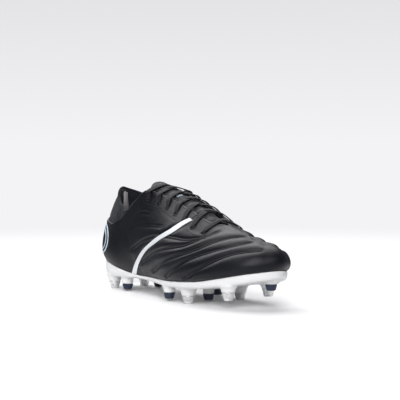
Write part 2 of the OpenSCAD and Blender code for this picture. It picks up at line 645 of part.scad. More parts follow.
// The lowest bar lies on the vamp, above the tongue
bar_lift = 5.8;
LACE = concat(backwards(half_lace(true, beneath)), [stop_on_tongue(EYELETS[0][0], bar_lift, 1)],
    half_lace(false, over));
lace_steps = 3;
lace_end = len(LACE) - 1;
function lace_at(x) = let (i = min(floor(x), lace_end - 1), f = x - i, a = LACE[max(i - 1, 0)],
    b = LACE[i], c = LACE[i + 1], d = LACE[min(i + 2, lace_end)])
    [spline(a[0], b[0], c[0], d[0], f), unit(spline(a[1], b[1], c[1], d[1], f)),
    mix(b[2], c[2], f), mix(b[3], c[3], f)];
function lace_ring(x) = let (e = 0.02, s = lace_at(x),
    t = unit(lace_at(min(x + e, lace_end))[0] - lace_at(max(x - e, 0))[0]),
    w = unit(cross(t, s[1])), h = cross(w, t))
    [for (c = [[1, 1], [-1, 1], [-1, -1], [1, -1]]) s[0] + c[0] * s[2] / 2 * w + c[1] * s[3] / 2 * h];
module lace() {
    n = lace_end * lace_steps;
    color("black") place() strip([for (i = [0:n]) lace_ring(i / lace_steps)]);
}
aglet_d = 1.7;
aglet_h = 11;
module aglets() {
    u = EYELETS[last_eyelet][0] - 0.16;
    color("black") place() for (medial = [false, true]) {
        s = side_of(medial, u);
        start = under(s, 0.968, lace_low);
        aim(start, under(s, 0.85, lace_low) - start) cylinder(d = aglet_d, h = aglet_h, $fn = 24);
    }
}

soleplate();
thread_inserts();
moulded_stud_tips();
shank();
insole_board();
sockliner();
vamp();
lateral_quarter();
medial_quarter();
heel_counter();
toe_puff();
side_stripe();
heel_badge();
heel_tab();
collar_foam();
collar_lining();
forefoot_lining();
lateral_eyestay();
medial_eyestay();
collar_shell();
collar_binding();
tongue_leather();
tongue_foam();
tongue_lining();
tongue_top();
tongue_label();
lace();
aglets();
stud_1();
stud_2();
stud_3();
stud_4();
stud_5();
stud_6();
spigot_1();
spigot_2();
spigot_3();
spigot_4();
spigot_5();
spigot_6();
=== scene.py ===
"""The looks of a lace-up football boot with a mixed sole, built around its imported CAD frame.

Shapes are worked out in millimetres in the boot's design frame: x runs from the heel to the toe, -y is the
outer (lateral) side and z is up from the plane of the stud tips. put() carries them into the CAD frame, in
metres. On the upper, u is a station round the boot (heel 0, toe 13, heel again 26) and v runs from the
sole (0) to the top edge (1).
"""
import math

import bpy
import numpy as np
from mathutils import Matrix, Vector

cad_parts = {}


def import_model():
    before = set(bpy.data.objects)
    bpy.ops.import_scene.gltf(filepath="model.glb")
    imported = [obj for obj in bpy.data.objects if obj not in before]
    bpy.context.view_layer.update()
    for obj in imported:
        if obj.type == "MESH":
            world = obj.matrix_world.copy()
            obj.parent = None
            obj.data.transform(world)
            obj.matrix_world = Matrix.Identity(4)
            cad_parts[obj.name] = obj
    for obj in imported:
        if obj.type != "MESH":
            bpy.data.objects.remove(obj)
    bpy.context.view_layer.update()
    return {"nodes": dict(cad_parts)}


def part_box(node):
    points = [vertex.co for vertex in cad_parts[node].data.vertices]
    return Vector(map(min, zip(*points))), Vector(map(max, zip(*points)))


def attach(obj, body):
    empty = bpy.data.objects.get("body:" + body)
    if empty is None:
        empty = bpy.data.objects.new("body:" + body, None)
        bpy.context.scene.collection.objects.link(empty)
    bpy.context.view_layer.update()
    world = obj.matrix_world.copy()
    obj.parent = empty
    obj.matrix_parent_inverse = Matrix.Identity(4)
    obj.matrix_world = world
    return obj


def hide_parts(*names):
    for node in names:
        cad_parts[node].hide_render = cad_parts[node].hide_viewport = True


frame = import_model()
MM = 0.001

# ---- design values shared with the CAD part ----

# Four curves of the upper, from its foot to its top edge: x, y lateral, y medial, z lateral, z medial
FEATHER = [[4, 0, 0, 38, 38], [7.5, -13, 12, 33, 33], [18, -22.5, 21.5, 30, 30], [38, -28, 28, 26.5, 26.5],
           [62, -29, 28.5, 22.5, 22.5], [88, -29.5, 26.5, 20, 20], [113, -32.5, 27.5, 20, 20],
           [138, -38.5, 32, 20.5, 20.5], [163, -44, 37.5, 21, 21], [188, -46, 40.5, 22.5, 22.5],
           [213, -44, 40.5, 24.5, 24.5], [238, -38, 36.5, 29, 29], [264, -23, 25, 34.5, 34.5],
           [278, 3.5, 3.5, 37.5, 37.5]]
BELLY = [[-7, 0, 0, 47, 47], [-3.5, -19, 18, 46, 46], [9, -32, 31, 44, 44], [36, -38.5, 37, 45, 45],
         [61, -35, 33, 44, 44], [88, -37, 33, 46, 46], [114, -41, 35, 48, 50], [140, -48, 40, 46, 48],
         [166, -55, 47, 42, 44], [192, -57, 51.5, 40, 42], [218, -54, 51.5, 38, 40], [246, -47, 46, 39, 41],
         [272, -29, 31, 41.5, 42.5], [288, 3.5, 3.5, 42.5, 42.5]]
SHOULDER = [[12, 0, 0, 85, 85], [14.5, -12, 12, 84, 84], [21, -19.5, 20, 82, 86], [40, -24, 25.5, 76, 84],
            [61, -29, 28, 66, 82], [91, -29, 29, 84, 88], [116, -31, 31, 88, 90], [141, -32, 32, 86, 86],
            [167, -35, 32, 80, 80], [192, -36, 33, 71, 73], [217, -30, 31, 68, 69], [244, -25, 26, 64, 64],
            [268, -16, 20, 60.5, 60.5], [282, 3.5, 3.5, 58, 58]]
CREST = [[14, 0, 0, 108, 108], [18.5, -8, 8, 105.5, 106], [27, -14.5, 15.5, 98, 103], [42, -21, 22, 90.5, 98],
         [60, -25.5, 26, 85.5, 95], [90, -23.5, 23.5, 107, 107], [114, -16.5, 18.5, 104.5, 106],
         [138, -14, 16.5, 97.5, 98.5], [163, -12.5, 14.5, 89.5, 90.5], [188, -9.5, 11.5, 80, 81],
         [208, 1, 1, 75.5, 75.5], [236, 1.5, 1.5, 67.5, 67.5], [256, 3, 3, 62, 62], [265, 3.5, 3.5, 60, 60]]
UNDERSIDE = [[-40, 17], [4, 17], [20, 14.6], [40, 14.2], [62, 14.6], [88, 15.8], [113, 15.4], [138, 14.8],
             [163, 14.6], [188, 15.2], [213, 17], [238, 20.3], [264, 25], [286, 30], [320, 37]]
MIDDLE = [[0, 0], [150, -4], [240, 0], [280, 4]]
STRIPE = [[4.78, 0], [5.2, 0.16], [5.8, 0.29], [6.7, 0.42], [7.75, 0.62], [8.33, 0.88]]
STRIPE_TOP = 0.87
STRIPE_RISE = 0.6
# Half the stripe's width. Near the sole it is wider than the CAD stripe, as in the photo
STRIPE_HALF = [[0.16, 0], [0.16, 0.16], [0.18, 0.29], [0.19, 0.42], [0.16, 0.62], [0.09, 0.88]]
QUARTER_TOP = [[0, 0.62], [0.36, 0.63], [0.40, 0.75], [0.475, 0.965], [0.57, 0.965], [0.62, 1], [1, 1]]
# Studs: x, y, height of the tip, radius of the root on the plate
SCREW_IN = [[27, -18, 0, 10], [26, 21, 0, 10], [185.5, -34, 0, 11], [242, -28, 8, 9.5],
            [188.5, 28, 0, 11.5], [237, 25, 8, 11.5]]
MOULDED = [[56.5, -20.5, 1.5, 8], [53, 22, 1, 8], [156, -36, 2.5, 8], [150.5, 28.5, 1, 8],
           [181, -6, 1.5, 8.5], [267.5, 3.5, 18, 8]]
EYELETS = [[9.29 - 0.64 * k, 0.77 + 0.018 * k] for k in range(7)]
EYELET_R = 2.3
STUD_H = 8
STUD_R = 6.2
TIP_R = 4.4
SPIGOT_R = 2.99
NAVY_H = 6
NAVY_R = [4.6, 5.7]
LEATHER = 1.6
PLATE = 3.5
TEXTILE_DEPTH = 1.9
FOAM_DEPTH = 3.1
COLLAR_TOP = 0.965
TOE = 13
ROUND_TRIP = 26
THROAT_END = 10
LACE_W = 6
LACE_T = 1.2

# The design frame's place in the CAD frame, found from a stud that both know
stud_low, stud_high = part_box("stud_3")
HOME = np.array([(stud_low.x + stud_high.x) / 2 / MM - SCREW_IN[2][0],
                 (stud_low.y + stud_high.y) / 2 / MM - SCREW_IN[2][1], 0])


# ---- small mathematics ----

def mix(a, b, f):
    return a + (b - a) * f


def smooth(f):
    f = np.clip(f, 0, 1)
    return f * f * (3 - 2 * f)


def unit(a):
    return a / np.maximum(np.linalg.norm(a, axis=-1, keepdims=True), 1e-9)


def column(table, x, of=1, by=0):
    """The value in one column of a table where another column has the value x."""
    t = np.array(table, float)
    return np.interp(x, t[:, by], t[:, of])


def spline(a, b, c, d, f):
    return b + 0.5 * f * (c - a + f * (2 * a - 5 * b + 4 * c - d + f * (3 * (b - c) + d - a)))


def smooth_path(stops, steps):
    """A Catmull-Rom curve through rows of numbers, with so many steps from one row to the next."""
    p = np.array(stops, float)
    p = np.vstack([p[:1], p, p[-1:]])
    f = np.arange(steps)[:, None] / steps
    spans = [spline(p[i - 1], p[i], p[i + 1], p[i + 2], f) for i in range(1, len(p) - 2)]
    return np.vstack(spans + [p[-1:]])


def loop(table):
    lateral = [[r[0], r[1], r[3]] for r in table]
    medial = [[r[0], r[2], r[4]] for r in table]
    return np.array(lateral + medial[-2:0:-1], float)


RINGS = [loop(t) for t in (FEATHER, BELLY, SHOULDER, CREST)]


def ring(points, u):
    u = np.mod(u, ROUND_TRIP)
    i = np.floor(u).astype(int)
    f = (u - i)[..., None]
    a, b, c, d = (points[(i + k) % ROUND_TRIP] for k in (-1, 0, 1, 2))
    return spline(a, b, c, d, f)


def skin(u, v):
    """A point of the upper's outer face."""
    u, v = np.broadcast_arrays(np.asarray(u, float), np.asarray(v, float))
    a, b, c, d = (ring(r, u) for r in RINGS)
    w = v[..., None]
    return (1 - w) ** 3 * a + 3 * (1 - w) ** 2 * w * b + 3 * (1 - w) * w ** 2 * c + w ** 3 * d


def outward(u, v):
    w = np.clip(v, 0.02, 0.96)
    return unit(np.cross(skin(u + 0.05, w) - skin(u - 0.05, w), skin(u, w + 0.02) - skin(u, w - 0.02)))


def under(u, v, depth):
    """The point of the upper that lies a depth below its outer face."""
    return skin(u, v) - np.asarray(depth)[..., None] * outward(u, v)


def across(medial, u):
    return ROUND_TRIP - u if medial else u


# ---- meshes ----

def quads(number):
    """Faces between neighbours in a grid of point numbers, facing out where u x v does."""
    corners = [number[:-1, :-1], number[1:, :-1], number[1:, 1:], number[:-1, 1:]]
    return np.stack(corners, axis=-1).reshape(-1, 4)


def grid_numbers(grid):
    return np.arange(grid.shape[0] * grid.shape[1]).reshape(grid.shape[:2])


def hoop(n, radius, steps):
    """A circle of points round the origin, square to the direction n."""
    angle = np.arange(steps) * 2 * math.pi / steps
    x = unit(np.cross(n, [0, 0, 1.0]))
    return radius * (np.cos(angle)[:, None] * x + np.sin(angle)[:, None] * np.cross(n, x))


def thicken(outer, inner, faces, bulge=0.3):
    """A closed solid between two skins with the same faces. Its free edges are rounded."""
    n = len(outer)
    starts, ends = faces.ravel(), np.roll(faces, -1, axis=1).ravel()
    free = ~np.isin(starts * n + ends, ends * n + starts)
    a, b = starts[free], ends[free]
    away = np.zeros_like(outer)
    centres = np.repeat(outer[faces].mean(axis=1), 4, axis=0)[free]
    for end in (a, b):
        np.add.at(away, end, (outer[a] + outer[b]) / 2 - centres)
    thickness = np.linalg.norm(outer - inner, axis=-1, keepdims=True)
    middle = (outer + inner) / 2 + unit(away) * thickness * bulge
    bands = [np.stack([b + k * n, a + k * n, a + (k + 1) * n, b + (k + 1) * n], axis=-1) for k in (0, 1)]
    points = np.vstack([outer, middle, inner])
    return points, np.vstack([faces, faces[:, ::-1] + 2 * n, *bands])


def flat_sizes(grid):
    """Each point's place on the cloth, in millimetres along and across it."""
    along = np.linalg.norm(np.diff(grid, axis=0), axis=-1).mean(axis=1)
    wide = np.linalg.norm(np.diff(grid, axis=1), axis=-1).mean(axis=0)
    x = np.concatenate([[0], np.cumsum(along)])[:, None] + np.zeros(grid.shape[:2])
    y = np.concatenate([[0], np.cumsum(wide)])[None, :] + np.zeros(grid.shape[:2])
    return np.stack([x, y], axis=-1).reshape(-1, 2)


def linked(name, data):
    obj = bpy.data.objects.new(name, data)
    bpy.context.scene.collection.objects.link(obj)
    return obj


def mesh_object(name, points, faces):
    """A smooth mesh object from rows of points in metres."""
    mesh = bpy.data.meshes.new(name)
    mesh.from_pydata(points, [], faces)
    mesh.polygons.foreach_set("use_smooth", np.ones(len(faces), bool))
    return linked(name, mesh)


def placed(points):
    """Points of the design frame as rows in the CAD frame, in metres."""
    return ((np.asarray(points) + HOME) * MM).tolist()


def make(name, points, faces, cloth=None):
    """A mesh object from those points of the design frame that its faces use."""
    used, numbers = np.unique(faces, return_inverse=True)
    faces = numbers.reshape(faces.shape)
    obj = mesh_object(name, placed(points[used]), faces.tolist())
    if cloth is not None:
        layer = obj.data.uv_layers.new(name="cloth")
        layer.data.foreach_set("uv", cloth[used][faces.ravel()].astype(np.float32).ravel())
    return obj


def dress(obj, finish, stands_for=(), body="boot"):
    obj.data.materials.clear()
    obj.data.materials.append(finish)
    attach(obj, body)
    if stands_for:
        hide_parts(*stands_for)
    return obj


def put(name, points, faces, finish, slot, stands_for=(), body="boot", cloth=None):
    return dress(make(name, points, faces, cloth), finish, stands_for, body)


def merged(parts):
    """One list of points and one of faces from several pairs of them."""
    points, faces, count = [], [], 0
    for p, f in parts:
        points.append(p.reshape(-1, 3))
        faces.append(f + count)
        count += len(points[-1])
    return np.vstack(points), np.vstack(faces)


def put_sheet(name, outer, inner, finish, slot, stands_for=(), body="boot", bulge=0.3):
    """A piece of sheet between two grids of points."""
    points, faces = thicken(outer.reshape(-1, 3), inner.reshape(-1, 3), quads(grid_numbers(outer)), bulge)
    return put(name, points, faces, finish, slot, stands_for, body, np.tile(flat_sizes(outer), (3, 1)))


def lathe(profile, centre, steps=72, radius=None):
    """A closed solid turned from (radius, height) pairs, from its bottom to its top. Where radius is given,
    it changes the radii by angle and height."""
    r, z = np.array(profile, float).T
    angle = np.arange(steps) * 2 * math.pi / steps
    radii = r[:, None] + np.zeros(steps)
    if radius:
        radii = radius(radii, angle[None, :], z[:, None])
    points = np.stack([radii * np.cos(angle), radii * np.sin(angle), z[:, None] + np.zeros(steps)], axis=-1)
    number = grid_numbers(points)
    number = np.hstack([number, number[:, :1]])
    low, high = number[0], number[-1]
    pole = np.full(steps, len(r) * steps)
    caps = np.vstack([np.column_stack([pole, low[1:], low[:-1]]),
                      np.column_stack([pole + 1, high[:-1], high[1:]])])
    points = np.vstack([points.reshape(-1, 3), [[0, 0, z[0]]], [[0, 0, z[-1]]]])
    return points + np.array(centre, float), quads(number.T), caps


def turned(name, parts):
    """One object made of turned solids."""
    points, faces, count = [], [], 0
    for p, sides, caps in parts:
        faces += (sides + count).tolist() + (caps + count).tolist()
        points.append(p)
        count += len(p)
    return mesh_object(name, placed(np.vstack(points)), faces)


def tube(path, sides, wide, high, facing=None, closed=False):
    """A tube along a path. It is round, or flat where facing gives the direction of its height."""
    ahead = np.roll(path, -1, axis=0) - np.roll(path, 1, axis=0)
    if not closed:
        ahead[0], ahead[-1] = path[1] - path[0], path[-1] - path[-2]
    t = unit(ahead)
    up = unit(np.array([0, 0, 1.0]) - t * t[:, 2:3]) if facing is None else facing
    w = unit(np.cross(t, up))
    h = np.cross(w, t)
    angle = np.arange(sides) * 2 * math.pi / sides
    # Powers below 1 make the section of a flat tube nearly rectangular
    flat, tall = (1, 1) if facing is None else (0.5, 0.8)
    c = np.sign(np.cos(angle)) * np.abs(np.cos(angle)) ** flat
    s = np.sign(np.sin(angle)) * np.abs(np.sin(angle)) ** tall
    wide = np.broadcast_to(wide, len(path))[:, None, None]
    high = np.broadcast_to(high, len(path))[:, None, None]
    grid = path[:, None] + c[None, :, None] * wide * w[:, None] + s[None, :, None] * high * h[:, None]
    number = grid_numbers(grid)
    number = np.hstack([number, number[:, :1]])
    if closed:
        return grid, quads(np.vstack([number, number[:1]])), []
    half = sides // 2
    ends = []
    for row, turn in ((number[0], 1), (number[-1], -1)):
        for j in range(half - 1):
            end = [row[j], row[j + 1], row[sides - 2 - j], row[sides - 1 - j]]
            ends.append(end[::turn])
    return grid, quads(number), ends


# ---- finishes ----

# A wave texture at this scale has one band in each unit of length
BAND = math.pi / 10


class Tree:
    """The shader nodes of a material or a world."""

    def __init__(self, owner):
        owner.use_nodes = True
        self.nodes = owner.node_tree.nodes
        self.links = owner.node_tree.links

    def node(self, kind, inputs=(), **settings):
        made = self.nodes.new("ShaderNode" + kind)
        for key, value in settings.items():
            setattr(made, key, value)
        for key, value in dict(inputs).items():
            if isinstance(value, bpy.types.NodeSocket):
                self.links.new(value, made.inputs[key])
            else:
                made.inputs[key].default_value = value
        return made

    def spread(self, value, low, high, start=0.0, end=1.0):
        """Maps a value from low..high to start..end."""
        inputs = {"Value": value, "From Min": low, "From Max": high, "To Min": start, "To Max": end}
        return self.node("MapRange", inputs).outputs["Result"]

    def blend(self, share, a, b):
        made = self.node("Mix", data_type="RGBA")
        sockets = [s for s in made.inputs if s.type == "RGBA"]
        self.links.new(share, made.inputs["Factor"])
        for socket, value in zip(sockets, (a, b)):
            if isinstance(value, bpy.types.NodeSocket):
                self.links.new(value, socket)
            else:
                socket.default_value = (*value, 1)
        return next(s for s in made.outputs if s.type == "RGBA")


class Finish(Tree):
    """A Principled material whose colour, roughness and relief come from procedural textures."""

    def __init__(self, name, colour, roughness, **sockets):
        self.material = bpy.data.materials.new(name)
        super().__init__(self.material)
        self.shader = self.nodes["Principled BSDF"]
        self.shader.inputs["Base Color"].default_value = (*colour, 1)
        self.shader.inputs["Roughness"].default_value = roughness
        self.relief = None
        for socket, value in sockets.items():
            self.shader.inputs[socket.replace("_", " ")].default_value = value

    def place(self, stretch=(1, 1, 1), cloth=False):
        """Coordinates in metres on the object, or in millimetres on its cloth."""
        source = self.node("UVMap", uv_map="cloth") if cloth else self.node("TexCoord")
        socket = source.outputs["UV" if cloth else "Object"]
        return self.node("Mapping", {"Vector": socket, "Scale": stretch}).outputs["Vector"]

    def noise(self, size, detail=4, rough=0.55, distortion=0, at=None):
        """Noise from 0 to 1 with features of about that size, in millimetres."""
        inputs = {"Vector": at or self.place(), "Scale": 1 / (size * MM), "Detail": detail,
                  "Roughness": rough, "Distortion": distortion}
        return self.node("TexNoise", inputs).outputs["Fac"]

    def cells(self, size):
        """Distance to the edges of cells of about that size, in millimetres."""
        inputs = {"Vector": self.place(), "Scale": 1 / (size * MM)}
        return self.node("TexVoronoi", inputs, feature="DISTANCE_TO_EDGE").outputs["Distance"]

    def rows(self, pitch, direction, distortion=0):
        """Bands across the cloth, so many millimetres apart."""
        inputs = {"Vector": self.place(cloth=True), "Scale": BAND / pitch, "Distortion": distortion}
        return self.node("TexWave", inputs, bands_direction=direction).outputs["Fac"]

    def paint(self, socket):
        self.links.new(socket, self.shader.inputs["Base Color"])
        return self

    def gloss(self, value, low, high):
        self.links.new(self.spread(value, 0, 1, low, high), self.shader.inputs["Roughness"])
        return self

    def bump(self, value, strength, height):
        """Adds relief of that height, in millimetres."""
        inputs = {"Height": value, "Strength": strength, "Distance": height * MM}
        if self.relief:
            inputs["Normal"] = self.relief
        self.relief = self.node("Bump", inputs).outputs["Normal"]
        self.links.new(self.relief, self.shader.inputs["Normal"])
        return self

    def worn(self, colour_socket, pale, share):
        """Edges and crests rub paler."""
        edge = self.node("NewGeometry").outputs["Pointiness"]
        rub = self.node("Math", {0: self.spread(edge, 0.51, 0.56), 1: self.noise(6, 5)}, operation="MULTIPLY")
        amount = self.spread(rub.outputs[0], 0, 1, 0, share)
        return self.blend(amount, colour_socket, pale)


def leather(name, dark, light, roughness, grain=0.9, sheen=0.0):
    f = Finish(name, dark, roughness, Specular_IOR_Level=0.27, Sheen_Weight=sheen, Sheen_Roughness=0.4)
    soft = f.noise(26, 5, 0.6)
    pores = f.spread(f.cells(grain), 0, 0.09)
    tone = f.blend(f.spread(soft, 0.3, 0.72), dark, light)
    deep = f.blend(f.spread(pores, 0, 1, 0.35, 0), tone, tuple(c * 0.4 for c in dark))
    f.paint(f.worn(deep, tuple(min(1, c * 3 + 0.03) for c in light), 0.35))
    f.gloss(f.noise(9, 5), roughness - 0.09, roughness + 0.1)
    f.bump(f.noise(7, 6, 0.62, 0.5), 0.35, 0.35)
    return f.bump(pores, 0.3, 0.12).material


def fabric(name, dark, light, pitch, roughness=0.85, sheen=0.3, nap=0.0):
    """A plain weave: threads along and across the cloth take turns on top."""
    f = Finish(name, dark, roughness, Sheen_Weight=sheen, Sheen_Roughness=0.5, Specular_IOR_Level=0.25)
    turns = f.node("TexChecker", {"Vector": f.place(cloth=True), "Scale": 1 / pitch}).outputs["Fac"]
    warp, weft = f.rows(pitch, "X"), f.rows(pitch, "Y")
    weave = f.node("Mix", {0: turns, 2: warp, 3: weft}, data_type="FLOAT").outputs[0]
    tone = f.blend(weave, dark, light)
    f.paint(f.blend(f.spread(f.noise(18, 4), 0.3, 0.8, 0, 0.5), tone, tuple(c * 0.6 for c in dark)))
    f.gloss(weave, roughness + 0.08, roughness - 0.08)
    f.bump(weave, 0.6, 0.25 * pitch)
    if nap:
        f.bump(f.noise(0.7, 3), 0.5, nap)
    return f.material


def braid(name, dark, light):
    """The herringbone of a flat lace."""
    f = Finish(name, dark, 0.7, Sheen_Weight=0.12, Sheen_Roughness=0.4, Specular_IOR_Level=0.3)
    ribs = f.rows(0.9, "DIAGONAL", 0.4)
    cords = f.rows(1.5, "Y")
    height = f.node("Math", {0: ribs, 1: cords}, operation="MULTIPLY").outputs[0]
    f.paint(f.blend(height, dark, light))
    f.gloss(ribs, 0.62, 0.8)
    return f.bump(height, 0.7, 0.3).material


def plastic(name, colour, tint, roughness, texture=0.05, **sockets):
    """Moulded plastic: fine spark-eroded texture, slight flow marks and scuffs."""
    f = Finish(name, colour, roughness, **sockets)
    flow = f.noise(40, 3, 0.5, 1.2)
    scuff = f.spread(f.noise(3, 8, 0.75, 2, f.place((1, 0.25, 1))), 0.58, 0.8)
    f.paint(f.blend(f.spread(scuff, 0, 1, 0, 0.4), f.blend(flow, colour, tint), tuple(c * 0.7 for c in tint)))
    f.gloss(f.noise(12, 6), roughness - 0.08, roughness + 0.12)
    f.bump(f.noise(0.8, 3), 0.25, texture)
    return f.bump(scuff, 0.1, 0.1).material


def metal(name, colour, roughness, pitch):
    """Turned metal: fine rings from the tool, and a few dull patches."""
    f = Finish(name, colour, roughness, Metallic=0.8)
    inputs = {"Vector": f.place(), "Scale": BAND / (pitch * MM), "Distortion": 1.5}
    rings = f.node("TexWave", inputs, bands_direction="Z").outputs["Fac"]
    dull = f.noise(5, 6, 0.7)
    f.paint(f.blend(f.spread(dull, 0.4, 0.75), colour, tuple(c * 0.6 for c in colour)))
    f.gloss(dull, roughness - 0.06, roughness + 0.2)
    return f.bump(rings, 0.25, 0.05).material


BLACK = leather("black_leather", (0.0035, 0.0042, 0.0068), (0.006, 0.007, 0.0105), 0.38)
GREY = leather("grey_leather", (0.045, 0.042, 0.045), (0.085, 0.08, 0.086), 0.5, 1.1, 0.1)
WHITE = plastic("white_sole", (0.88, 0.885, 0.885), (0.83, 0.835, 0.835), 0.36, Subsurface_Weight=0.08,
                Subsurface_Radius=(0.004, 0.004, 0.004))
NAVY = plastic("navy_tips", (0.008, 0.014, 0.036), (0.012, 0.02, 0.048), 0.42)
TRIM = plastic("white_trim", (0.86, 0.88, 0.91), (0.80, 0.83, 0.87), 0.38, 0.03)
PALE = plastic("pale_trim", (0.60, 0.72, 0.80), (0.54, 0.66, 0.75), 0.38, 0.03)
COLLAR = fabric("collar_cloth", (0.004, 0.005, 0.009), (0.012, 0.014, 0.022), 1.1, sheen=0.08)
LINING = fabric("lining_cloth", (0.005, 0.006, 0.009), (0.013, 0.014, 0.02), 1.3, sheen=0.08)
PAD = fabric("heel_pad_cloth", (0.24, 0.23, 0.235), (0.42, 0.405, 0.41), 0.8, nap=0.12)
INSOLE = fabric("insole_cloth", (0.02, 0.022, 0.03), (0.05, 0.055, 0.07), 1.0)
LACE = braid("lace_braid", (0.004, 0.004, 0.006), (0.018, 0.018, 0.023))
THREAD = braid("thread", (0.012, 0.012, 0.015), (0.03, 0.03, 0.036))
STUD = metal("turned_aluminium", (0.90, 0.90, 0.91), 0.26, 0.22)
STEEL = metal("steel", (0.42, 0.43, 0.45), 0.34, 0.3)
BRASS = metal("brass", (0.62, 0.46, 0.22), 0.3, 0.25)
BOARD = plastic("fibre_board", (0.42, 0.33, 0.23), (0.36, 0.28, 0.19), 0.8, 0.2)
NYLON = plastic("nylon", (0.13, 0.14, 0.16), (0.1, 0.11, 0.13), 0.5)


# ---- camera, floor and light ----

CAMERA_AT = Vector((1.073, -0.7735, 0.1593))
AZIMUTH = math.radians(53.7)
PITCH = math.radians(2.6)
LENS = 117
SENSOR = 36
BACKDROP = (0.895, 0.895, 0.91)
BACKDROP_TOP_SHADE = (0.74, 0.735, 0.75)
# The backdrop darkens upwards with painted shade, to this height of a direction's z
BACKDROP_RISE = 0.14
ROOM = (0.9, 0.92, 1, 1)
ROOM_STRENGTH = 0.16
PAPER = (0.92, 0.92, 0.92)
FLOOR_REACH = 30
# Distances from the boot, in metres: where the floor's colour darkens for all but the camera, a painted shade
# that sends less light back onto the boot, and where it fades
DIM_FROM, DIM_TO = 0.16, 0.5
FADE_FROM, FADE_TO = 0.3, 1.15


def camera():
    data = bpy.data.cameras.new("camera")
    data.sensor_width = SENSOR
    data.lens = LENS
    obj = linked("camera", data)
    obj.location = CAMERA_AT
    level = math.cos(PITCH)
    back = Vector((math.sin(AZIMUTH) * level, -math.cos(AZIMUTH) * level, math.sin(PITCH)))
    obj.rotation_euler = (-back).to_track_quat("-Z", "Y").to_euler()
    bpy.context.scene.camera = obj


def sun(name, towards, strength, degrees):
    data = bpy.data.lights.new(name, "SUN")
    data.energy = strength
    data.angle = math.radians(degrees)
    linked(name, data).rotation_euler = Vector(towards).to_track_quat("Z", "Y").to_euler()


def floor():
    r = FLOOR_REACH
    obj = mesh_object("floor", [(-r, -r, 0), (r, -r, 0), (r, r, 0), (-r, r, 0)], [(0, 1, 2, 3)])
    f = Finish("paper", PAPER, 0.9, Specular_IOR_Level=0.1)
    f.bump(f.noise(2, 3), 0.05, 0.05)
    reach = f.node("VectorMath", {0: f.place()}, operation="LENGTH").outputs["Value"]
    # Painted shade: for all but the camera, the floor's colour darkens away from the boot
    dim = f.blend(f.spread(reach, DIM_FROM, DIM_TO), (0.8, 0.8, 0.8), (0.1, 0.1, 0.11))
    seen = f.node("LightPath").outputs["Is Camera Ray"]
    f.paint(f.blend(seen, dim, PAPER))
    # Far off, the floor turns into the backdrop
    glow = f.node("Emission", {"Color": (*BACKDROP, 1)})
    inputs = {"Value": reach, "From Min": FADE_FROM, "From Max": FADE_TO}
    far = f.node("MapRange", inputs, interpolation_type="SMOOTHSTEP")
    share = f.node("Math", {0: far.outputs["Result"], 1: seen}, operation="MULTIPLY")
    both = f.node("MixShader", {0: share.outputs[0], 1: f.shader.outputs[0], 2: glow.outputs[0]})
    f.links.new(both.outputs[0], f.nodes["Material Output"].inputs["Surface"])
    obj.data.materials.append(f.material)


def world():
    """A pale backdrop for the camera, and a dim room for everything else."""
    made = bpy.data.worlds.new("studio")
    t = Tree(made)
    height = t.node("SeparateXYZ", {0: t.node("TexCoord").outputs["Generated"]}).outputs["Z"]
    # Painted shade: the backdrop seen by the camera darkens towards the top
    tone = t.blend(t.spread(height, 0, BACKDROP_RISE), BACKDROP, BACKDROP_TOP_SHADE)
    shown = t.nodes["Background"]
    t.links.new(tone, shown.inputs["Color"])
    room = t.node("Background", {"Color": ROOM, "Strength": ROOM_STRENGTH})
    seen = t.node("LightPath").outputs["Is Camera Ray"]
    both = t.node("MixShader", {0: seen, 1: room.outputs[0], 2: shown.outputs[0]})
    t.links.new(both.outputs[0], t.nodes["World Output"].inputs["Surface"])
    bpy.context.scene.world = made


camera()
floor()
world()
sun("key", (-0.55, 0.12, 0.85), 3.0, 70)
sun("front", (0.62, -0.6, 0.5), 2.3, 38)
bpy.context.scene.view_settings.view_transform = "Standard"


# ---- upper ----

# Sewn channels of the quilting on the lateral side, as stations and heights. The medial side mirrors them.
CHANNELS = [[(4.53, 0.58), (5.8, 0.56), (7.08, 0.60)],
            [(4.62, 0.30), (5.7, 0.40), (7.2, 0.50), (8.65, 0.60), (9.55, 0.72)],
            [(5.38, 0.14), (6.8, 0.30), (8.83, 0.54), (10, 0.88)],
            [(6.48, 0.06), (7.45, 0.20), (9.05, 0.44), (10, 0.64), (11.12, 1)],
            [(7.9, 0.03), (8.45, 0.15), (9.5, 0.39), (10.68, 0.62), (11.68, 0.92)],
            [(9.3, 0.04), (9.78, 0.17), (10.5, 0.36), (11.3, 0.57), (12.4, 0.73)]]
FULLNESS = [0.3, 0.75, 0.9, 1, 1, 1]
CREASES = [[(4.93, 0.74), (5.4, 0.745), (5.82, 0.73)], [(4.95, 0.70), (5.4, 0.69), (5.9, 0.68)]]
PUFF = 1.7
GROOVE = 1.2
TWIN = 1.4
CHANNEL_STEPS = 40
# The cutter of a lace hole: how deep it starts, its length and its sides
HOLE_DEPTH = 7
HOLE_LENGTH = 14
HOLE_SIDES = 28


def on_skin(line, medial, steps):
    """A line of stations and heights as stations, heights and points in space."""
    uv = smooth_path(line, steps)
    u = across(medial, uv[:, 0])
    return u, uv[:, 1], skin(u, uv[:, 1])


def nearest(points, line):
    """Distance from each point to a line of points, and the share of the line's length there."""
    flat = points.reshape(-1, 3)
    squares = (flat ** 2).sum(-1)[:, None] + (line ** 2).sum(-1)[None, :] - 2 * flat @ line.T
    index = squares.argmin(axis=1)
    distance = np.sqrt(np.maximum(squares[np.arange(len(flat)), index], 0))
    return distance.reshape(points.shape[:-1]), index.reshape(points.shape[:-1]) / (len(line) - 1)


